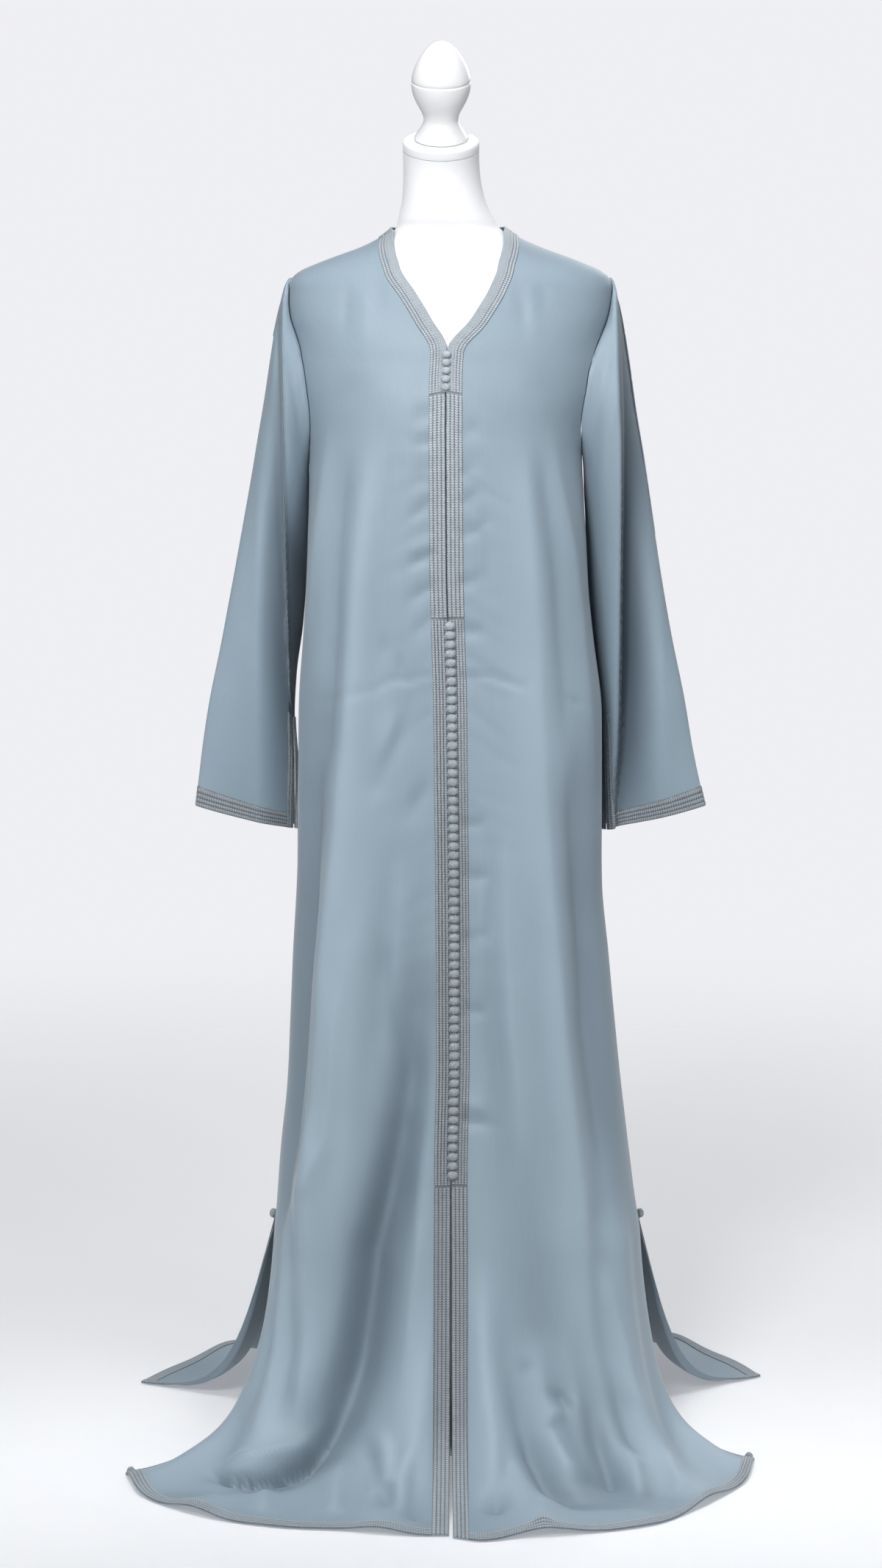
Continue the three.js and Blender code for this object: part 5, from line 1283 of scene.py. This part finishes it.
# Darker in the grooves between the cords, partly the cloth showing through and partly painted
# shade, and painted shade between the plaits and the zigzag's stitches; the fibre noise is the
# silk's own uneven tone.
dark = (groove + 0.75 * (1.0 - thread) ** 2.0 + 0.25 * (0.5 - fibre)).low(1.0).high(0.0)
painted_sheen = painted_light_from_above(recipe, where)
painted_light_on_floor = (1.0 - recipe.height(where) / 0.08).low(1.0).high(0.0)
# Painted light: the braid is scaled lighter towards the chest and where it lies flat on the floor.
tone = recipe.add("ShaderNodeVectorMath", {"operation": "SCALE"}, {
    0: recipe.blend(dark, lit, shaded_and_dark_silk), "Scale": 0.72 + 0.36 * painted_sheen + 0.34 * painted_light_on_floor})
join(tone, shader.inputs["Base Color"])
join(0.5 - 0.12 * thread + 0.15 * fibre, shader.inputs["Roughness"])
join(recipe.bump(thread + 0.3 * fibre, 0.0006, 0.8), shader.inputs["Normal"])


def front_braid(side, panel):
    """The braid of one front, from the shoulder seam down to the hem."""
    grid, normals = panel["grid"], panel["normals"]
    lengths = path_lengths(grid[:, 4])
    steps = np.arange(0, lengths[-1], STEP)
    rows = np.interp(steps, lengths, np.arange(len(lengths)))
    u = np.linspace(0, BRAID_WIDTH, 41)
    columns = column_index(panel, u / BRAID_WIDTH)
    ground = between(grid, rows, columns)
    out = unit(between(normals, rows, columns))
    z = ground[:, 0, 2][:, None]
    u = np.broadcast_to(u, ground.shape[:2])
    upper, upper_at = cords(u, BAND_WIDTH, NECK_CORD, BRAID_WIDTH)
    beside, beside_at = cords(u, 4.0, 4.0, BRAID_WIDTH) if side < 0 else (upper, upper_at)
    band = (u < BAND_WIDTH) & (z > ZIGZAG_FOOT_Z)
    upper = np.where(band, BRAID_BASE + BAND_RISE, upper)
    upper_at = np.where(band, ZIGZAG_AT + u / BAND_WIDTH, upper_at + CORDS_AT)
    plain, plain_at = cords(u, CORD_START, FRONT_CORD, BRAID_WIDTH)
    knotted = smooth(KNOT_TOP_Z + 15, KNOT_TOP_Z + 5, z)
    knotted = knotted * smooth(KNOT_FOOT_Z - 18, KNOT_FOOT_Z - 8, z)
    neck = smooth(ZIGZAG_FOOT_Z - 5, ZIGZAG_FOOT_Z + 5, z)
    height = mix(mix(plain, beside, knotted), upper, neck)
    at = np.where(knotted > 0.5, beside_at + CORDS_AT, plain_at)
    at = np.where(neck > 0.5, upper_at, at)
    place = np.stack([at, np.broadcast_to((steps / STITCH)[:, None], at.shape)], -1)
    return ground, out, height, place


for side, panel, name in ((-1, front_right, "right"), (1, front_left, "left")):
    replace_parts(lay_braid(f"sfifa_front_{name}", *front_braid(side, panel), silk),
                f"braid_front_{name}")


def neck_braid():
    """The braid round the back of the neck, standing a little above the shoulder seams."""
    angle = np.radians(np.linspace(90, 270, 121))
    u = np.linspace(0, BRAID_WIDTH, 41)
    ground = []
    for a in angle:
        z = np.linspace(1504, 1462, 70)
        path = gown_point(np.full(70, a), z)
        start = np.interp(-mix(1502, 1500, abs(np.cos(a))), -z, path_lengths(path))
        ground.append(along_path(path, path_lengths(path), start + u))
    ground = np.stack(ground)
    out = form_normal(np.repeat(angle[:, None], 41, 1), ground[..., 2])
    height, at = cords(np.broadcast_to(u, ground.shape[:2]), BAND_WIDTH, NECK_CORD,
                       BRAID_WIDTH)
    band = u < BAND_WIDTH
    height = np.where(band, BRAID_BASE + BAND_RISE, height)
    at = np.where(band, ZIGZAG_AT + u / BAND_WIDTH, at + CORDS_AT)
    steps = path_lengths(ground[:, 20]) / STITCH
    place = np.stack([at, np.broadcast_to(steps[:, None], at.shape)], -1)
    return ground, out, height, place


back_neck = lay_braid("sfifa_back_neck", *neck_braid(), silk, lift=0.4)
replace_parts(back_neck, "braid_back_neck")


def edge_braid(name, node, panel, rows, columns, width, pitch):
    """Lays a braid over a band of a panel; the short side of the band runs across it."""
    grid, normals = panel["grid"], panel["normals"]
    count = int(width / 0.55) + 1
    along_hem = len(rows) < len(columns)
    line = between(grid, rows[:1], columns)[0] if along_hem else (
        between(grid, rows, columns[:1])[:, 0])
    lengths = path_lengths(line)
    steps = np.append(np.arange(0, lengths[-1], STEP), lengths[-1])
    if along_hem:
        columns = np.interp(steps, lengths, columns)
        rows = np.linspace(rows[0], rows[-1], count)
    else:
        rows = np.interp(steps, lengths, rows)
        columns = np.linspace(columns[0], columns[-1], count)
    ground, out = between(grid, rows, columns), between(normals, rows, columns)
    if along_hem:
        ground, out = np.swapaxes(ground, 0, 1), np.swapaxes(out, 0, 1)
    u = np.broadcast_to(np.linspace(0, width, count), ground.shape[:2])
    height, at = cords(u, CORD_START, pitch, width)
    place = np.stack([at + CORDS_AT,
                      np.broadcast_to((steps / STITCH)[:, None], at.shape)], -1)
    braid = lay_braid(name, ground, unit(out), height, place, silk)
    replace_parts(braid, node)


last_row = back["grid"].shape[0] - 1
hem_rows = np.array([last_row, last_row - HEM_ROWS], float)
slit_row = ARM_ROWS + BODY_ROWS - 1
slit_rows = np.arange(slit_row, last_row + 1.0)
front_slit = np.array([FRONT_COLUMNS, FRONT_COLUMNS - 1.0])
for panel, name, back_slit in (
        (front_right, "right", np.array([0.0, 1.0])),
        (front_left, "left", np.array([BACK_COLUMNS, BACK_COLUMNS - 1.0]))):
    edge_braid(f"sfifa_hem_front_{name}", f"braid_hem_front_{name}", panel, hem_rows,
               column_index(panel, np.linspace(1, FRONT_COLUMNS - 1, 200)),
               HEM_BRAID_WIDTH, HEM_CORD)
    edge_braid(f"sfifa_slit_front_{name}", f"braid_slit_front_{name}", panel, slit_rows,
               column_index(panel, front_slit), SLIT_BRAID_WIDTH, SLIT_CORD)
    edge_braid(f"sfifa_slit_back_{name}", f"braid_slit_back_{name}", back, slit_rows,
               column_index(back, back_slit), SLIT_BRAID_WIDTH, SLIT_CORD)
edge_braid("sfifa_hem_back", "braid_hem_back", back, hem_rows,
           column_index(back, np.linspace(1, BACK_COLUMNS - 1, 300)),
           HEM_BRAID_WIDTH, HEM_CORD)

last_ring = sleeve_right["grid"].shape[0] - 1
ring_rows = SLEEVE_RINGS / 11   # rows of the mesh to a ring of the sleeve's table
cuff_rows = np.array([last_ring, last_ring - ring_rows])
slit_rows = np.arange(last_ring - 4 * ring_rows, last_ring + 0.5)
for panel, name in ((sleeve_right, "right"), (sleeve_left, "left")):
    edge_braid(f"sfifa_cuff_{name}", f"braid_cuff_{name}", panel, cuff_rows,
               column_index(panel, np.linspace(1, SLEEVE_COLUMNS - 1, 200)),
               HEM_BRAID_WIDTH, HEM_CORD)
    for ends, edge in (([0.0, 1.0], "front"),
                       ([SLEEVE_COLUMNS, SLEEVE_COLUMNS - 1.0], "back")):
        edge_braid(f"sfifa_sleeve_slit_{edge}_{name}", f"braid_sleeve_slit_{edge}_{name}",
                   panel, slit_rows, column_index(panel, np.array(ends)),
                   SLEEVE_SLIT_BRAID_WIDTH, SLEEVE_SLIT_CORD)


# ------------------------------------------------------------------ knots
# Small passementerie knots (aakad), each a ball worked over a core in the braid's silk with a
# loop behind it. Sixty-one close the front, five the foot of the V, one stands on each side
# slit and a small one on each corner of the hem.

KNOT_WIDTH, KNOT_HEIGHT, KNOT_DEPTH = 12.4, 10.0, 8.0
KNOTS_IN_ROW = 61
NECK_KNOTS = 5
NECK_KNOT_TOP_Z, NECK_KNOT_FOOT_Z = 1352.0, 1313.0
NECK_KNOT_SIZE = 0.82           # share of a front knot's size
SLIT_KNOT_SIZE = 0.95
HEM_KNOT_SIZE = 0.75


def knot_recipe():
    """Geometry nodes that set one worked knot on every point of a mesh."""
    tree = bpy.data.node_groups.new("worked_knots", "GeometryNodeTree")
    tree.interface.new_socket("Geometry", in_out="INPUT", socket_type="NodeSocketGeometry")
    for name in ("Width", "Height", "Depth", "Loop thickness", "Lattice depth"):
        tree.interface.new_socket(name, in_out="INPUT", socket_type="NodeSocketFloat")
    tree.interface.new_socket("Geometry", in_out="OUTPUT", socket_type="NodeSocketGeometry")
    recipe = Recipe(tree)
    asked = recipe.add("NodeGroupInput").socket.node.outputs
    width, height, depth = Wire(asked["Width"]), Wire(asked["Height"]), Wire(asked["Depth"])
    ball = recipe.add("GeometryNodeMeshUVSphere", {}, {"Segments": 28, "Rings": 16, "Radius": 0.5})
    at = recipe.add("GeometryNodeInputPosition")
    x, y, z = recipe.parts(at)
    round_it = x.sum("ARCTAN2", z, x)
    one = abs((4.0 * round_it + 9.0 * y).sin())
    other = abs((4.0 * round_it - 9.0 * y).sin())
    nub = (one * other) ** 0.5
    out = recipe.add("GeometryNodeInputNormal")
    push = recipe.add("ShaderNodeVectorMath", {"operation": "SCALE"}, {
        0: out, "Scale": (nub - 0.5) * Wire(asked["Lattice depth"])})
    ball = recipe.add("GeometryNodeSetPosition", {}, {"Geometry": ball, "Offset": push})
    ball = recipe.add("GeometryNodeStoreNamedAttribute",
                      {"data_type": "FLOAT", "domain": "POINT"},
                      {"Geometry": ball, "Name": "nub", "Value": nub})
    size = recipe.add("ShaderNodeCombineXYZ", {}, {0: width, 1: height, 2: depth})
    ball = recipe.add("GeometryNodeTransform", {}, {"Geometry": ball, "Scale": size})
    loop = recipe.add("GeometryNodeCurvePrimitiveCircle", {}, {"Resolution": 14,
                                                              "Radius": width * 0.5})
    thread = recipe.add("GeometryNodeCurvePrimitiveCircle", {}, {
        "Resolution": 5, "Radius": Wire(asked["Loop thickness"]) * 0.5})
    loop = recipe.add("GeometryNodeCurveToMesh", {}, {"Curve": loop, "Profile Curve": thread})
    lowered = recipe.add("ShaderNodeCombineXYZ", {}, {1: height * -0.18, 2: depth * -0.32})
    loop = recipe.add("GeometryNodeTransform", {}, {
        "Geometry": loop, "Translation": lowered, "Scale": (1.0, 0.72, 1.0)})
    loop = recipe.add("GeometryNodeStoreNamedAttribute",
                      {"data_type": "FLOAT", "domain": "POINT"},
                      {"Geometry": loop, "Name": "nub", "Value": 0.5})
    knot = recipe.add("GeometryNodeJoinGeometry", {}, {0: [ball, loop]})
    outward = recipe.add("GeometryNodeInputNamedAttribute", {"data_type": "FLOAT_VECTOR"},
                         {"Name": "outward"})
    share = recipe.add("GeometryNodeInputNamedAttribute", {"data_type": "FLOAT"},
                       {"Name": "size"})
    turn = recipe.add("FunctionNodeAlignRotationToVector", {"axis": "Z", "pivot_axis": "AUTO"},
                      {"Vector": outward})
    set_out = recipe.add("GeometryNodeInstanceOnPoints", {}, {
        "Points": Wire(asked["Geometry"]), "Instance": knot,
        "Rotation": turn, "Scale": share})
    solid = recipe.add("GeometryNodeRealizeInstances", {}, {"Geometry": set_out})
    dressed = recipe.add("GeometryNodeSetMaterial", {}, {"Geometry": solid,
                                                        "Material": knot_silk})
    recipe.add("NodeGroupOutput", {}, {0: dressed})
    return tree


knot_silk, recipe, shader = new_finish("worked_knot_silk", Sheen_Weight=0.3,
                                       Sheen_Roughness=0.3, IOR=1.5)
where = recipe.add("ShaderNodeTexCoord", out="Object")
nub = recipe.add("ShaderNodeAttribute", {"attribute_name": "nub"}, out=2)
fibre = recipe.noise(where, 1900.0, 3.0)
uneven = recipe.noise(where, 90.0, 2.0)
lit = recipe.blend(uneven, (0.39, 0.44, 0.48, 1), (0.48, 0.535, 0.575, 1))
# Painted shade in the hollows of the knot's lattice (low nub), towards the dark colour; the fibre
# noise is the silk's own uneven tone.
dark = ((1.0 - nub) ** 2.0 * 0.85 + 0.3 * (0.5 - fibre)).low(1.0).high(0.0)
painted_sheen = painted_light_from_above(recipe, where)
# Painted light: the knots are scaled lighter towards the chest.
tone = recipe.add("ShaderNodeVectorMath", {"operation": "SCALE"}, {
    0: recipe.blend(dark, lit, (0.17, 0.20, 0.225, 1)), "Scale": 0.74 + 0.3 * painted_sheen})
join(tone, shader.inputs["Base Color"])
join(0.48 + 0.16 * fibre, shader.inputs["Roughness"])
join(recipe.bump(fibre, 0.0004, 0.7), shader.inputs["Normal"])
knot_tree = knot_recipe()


def set_knots(name, places, outward, sizes):
    """One mesh of worked knots on the places given in millimetres."""
    mesh = bpy.data.meshes.new(name + "_points")
    mesh.from_pydata(((np.array(places) + [AXIS_X, 0, 0]) * MM).tolist(), [], [])
    mesh.attributes.new("outward", "FLOAT_VECTOR", "POINT").data.foreach_set(
        "vector", np.array(outward, dtype=np.float32).ravel())
    mesh.attributes.new("size", "FLOAT", "POINT").data.foreach_set(
        "value", np.array(sizes, dtype=np.float32))
    seed = bpy.data.objects.new(name + "_points", mesh)
    bpy.context.scene.collection.objects.link(seed)
    modifier = seed.modifiers.new("knots", "NODES")
    modifier.node_group = knot_tree
    values = {"Width": KNOT_WIDTH, "Height": KNOT_HEIGHT, "Depth": KNOT_DEPTH,
              "Loop thickness": 2.0}
    values = {name: size * MM for name, size in values.items()} | {"Lattice depth": 0.09}
    for item in knot_tree.interface.items_tree:
        if item.item_type == "SOCKET" and item.in_out == "INPUT" and item.name in values:
            modifier[item.identifier] = values[item.name]
    bpy.context.view_layer.update()
    graph = bpy.context.evaluated_depsgraph_get()
    made = bpy.data.meshes.new_from_object(seed.evaluated_get(graph))
    made.name = name
    seed.modifiers.remove(modifier)
    bpy.data.objects.remove(seed)
    bpy.data.meshes.remove(mesh)
    made.shade_smooth()
    piece = bpy.data.objects.new(name, made)
    bpy.context.scene.collection.objects.link(piece)
    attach(piece, "root")
    return piece


def centre_line(z):
    """Point between the two fronts at a height, and the way out from the cloth."""
    points, outs = [], []
    for panel in (front_right, front_left):
        edge, normal = panel["grid"][:, 0], panel["normals"][:, 1]
        row = np.interp(-z, -edge[:slit_row + 1, 2], np.arange(slit_row + 1))
        points.append(between(edge[:, None].repeat(2, 1), [row], [0])[0, 0])
        outs.append(between(normal[:, None].repeat(2, 1), [row], [0])[0, 0])
    return (points[0] + points[1]) / 2, unit(outs[0] + outs[1])


places, outs = [], []
for z in np.linspace(KNOT_TOP_Z, KNOT_FOOT_Z, KNOTS_IN_ROW):
    point, out = centre_line(z)
    places.append(point + out * 4.2 + [2.2, 0, 0])
    outs.append(out + [0, 0, 0.10])
front_knots = set_knots("aakad_front", places, outs, [1.0] * KNOTS_IN_ROW)
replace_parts(front_knots, *[f"front_knots_{k}" for k in range(1, 7)])
places, outs = [], []
for z in np.linspace(NECK_KNOT_TOP_Z, NECK_KNOT_FOOT_Z, NECK_KNOTS):
    point, out = centre_line(z)
    places.append(point + out * 3.6)
    outs.append(out)
neck_knots = set_knots("aakad_neck", places, outs, [NECK_KNOT_SIZE] * NECK_KNOTS)
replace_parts(neck_knots, "neck_knots")
for side, panel, name in ((-1, front_right, "right"), (1, front_left, "left")):
    seam = panel["grid"][slit_row, -1]
    knot = set_knots(f"aakad_slit_{name}", [seam + [side * 4.8, 0, 2]],
                     [[side, -0.3, 0.2]], [SLIT_KNOT_SIZE])
    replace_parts(knot, f"slit_knot_{name}")
    corner = panel["grid"][-1, -1] * 0.985 + [0, 0, 4.2]
    set_knots(f"aakad_hem_{name}", [corner], [[side * 0.5, -0.6, 0.6]], [HEM_KNOT_SIZE])


# ------------------------------------------------------------------ floor, light and camera
# A pale floor that fades into an even pale room. Soft lights: a key and a fill in front, one
# above, one behind, one at each side and two on the floor beside the hem. The camera stands
# 4.6 m in front, a little above the chest.

floor_mesh = bpy.data.meshes.new("pale_floor")
ring = np.linspace(0, 2 * np.pi, 96, endpoint=False)
outer = np.stack([6 * np.cos(ring), 6 * np.sin(ring), np.zeros(96)], -1)
floor_mesh.from_pydata(outer.tolist(), [], [list(range(96))])
floor = bpy.data.objects.new("pale_floor", floor_mesh)
bpy.context.scene.collection.objects.link(floor)
paint, recipe, shader = new_finish("pale_floor_paint", Roughness=0.7)
where = recipe.add("ShaderNodeTexCoord", out="Object")
shader.inputs["Base Color"].default_value = (0.62, 0.625, 0.635, 1)
shader.inputs["Emission Color"].default_value = (0.95, 0.96, 1.0, 1)
shader.inputs["Emission Strength"].default_value = 0.29
away = recipe.add("ShaderNodeVectorMath", {"operation": "LENGTH"}, {0: where}, out=1)
fade = ((away - 0.9) / 2.4).low(1.0).high(0.0)
clear = recipe.add("ShaderNodeBsdfTransparent")
blended = recipe.add("ShaderNodeMixShader", {}, {
    0: fade * fade * (3.0 - 2.0 * fade), 1: Wire(shader.outputs[0]), 2: clear})
join(blended, recipe.tree.nodes["Material Output"].inputs["Surface"])
floor_mesh.materials.append(paint)

room = bpy.data.worlds.new("pale_room")
bpy.context.scene.world = room
room.use_nodes = True
recipe = Recipe(room.node_tree)
sky = room.node_tree.nodes["Background"]
path = recipe.add("ShaderNodeLightPath", out=0)
light, seen = (0.20, 0.209, 0.223, 1), (0.862, 0.865, 0.898, 1)
join(recipe.blend(path, light, seen), sky.inputs["Color"])
sky.inputs["Strength"].default_value = 1.0


def soft_light(name, place, aim, size, power, spread):
    lamp = bpy.data.lights.new(name, "AREA")
    lamp.shape = "RECTANGLE"
    lamp.size, lamp.size_y = size
    lamp.energy = power
    lamp.spread = np.radians(spread)
    light = bpy.data.objects.new(name, lamp)
    light.location = place
    light.rotation_euler = (Vector(aim) - Vector(place)).to_track_quat("-Z", "Y").to_euler()
    bpy.context.scene.collection.objects.link(light)


for lamp in (                   # name, place, aim, size, power, spread
    ("key_light", (-0.9, -3.1, 3.0), (0, 0, 1.10), (1.0, 1.0), 8.8, 48),
    ("fill_light", (1.5, -2.9, 2.3), (0, 0, 1.2), (1.2, 1.2), 4.6, 80),
    ("top_light", (0.0, -0.6, 4.0), (0, -0.2, 0.6), (1.6, 1.4), 37, 180),
    ("floor_light_right", (-0.8, -0.4, 3.4), (-0.46, -0.3, 0), (0.4, 0.4), 0.75, 24),
    ("floor_light_left", (0.8, -0.4, 3.4), (0.46, -0.3, 0), (0.4, 0.4), 0.75, 24),
    ("back_light", (1.6, 3.2, 2.8), (0, 0, 1.0), (2.0, 2.0), 40, 180),
    ("side_light_near", (-3.2, -0.5, 1.5), (0, 0, 0.9), (1.4, 2.4), 6.5, 180),
    ("side_light_far", (3.2, -0.5, 1.5), (0, 0, 0.9), (1.4, 2.4), 3, 180),
):
    soft_light(*lamp)

camera_data = bpy.data.cameras.new("front_camera")
camera_data.lens = 85.43
camera_data.sensor_width = 36.0
camera = bpy.data.objects.new("front_camera", camera_data)
camera.location = (AXIS_X * MM, -4.6, 1.5)
aim = Vector((AXIS_X * MM, 0.0, 0.815))
camera.rotation_euler = (aim - camera.location).to_track_quat("-Z", "Y").to_euler()
bpy.context.scene.collection.objects.link(camera)
bpy.context.scene.camera = camera

bpy.context.scene.view_settings.view_transform = "Standard"
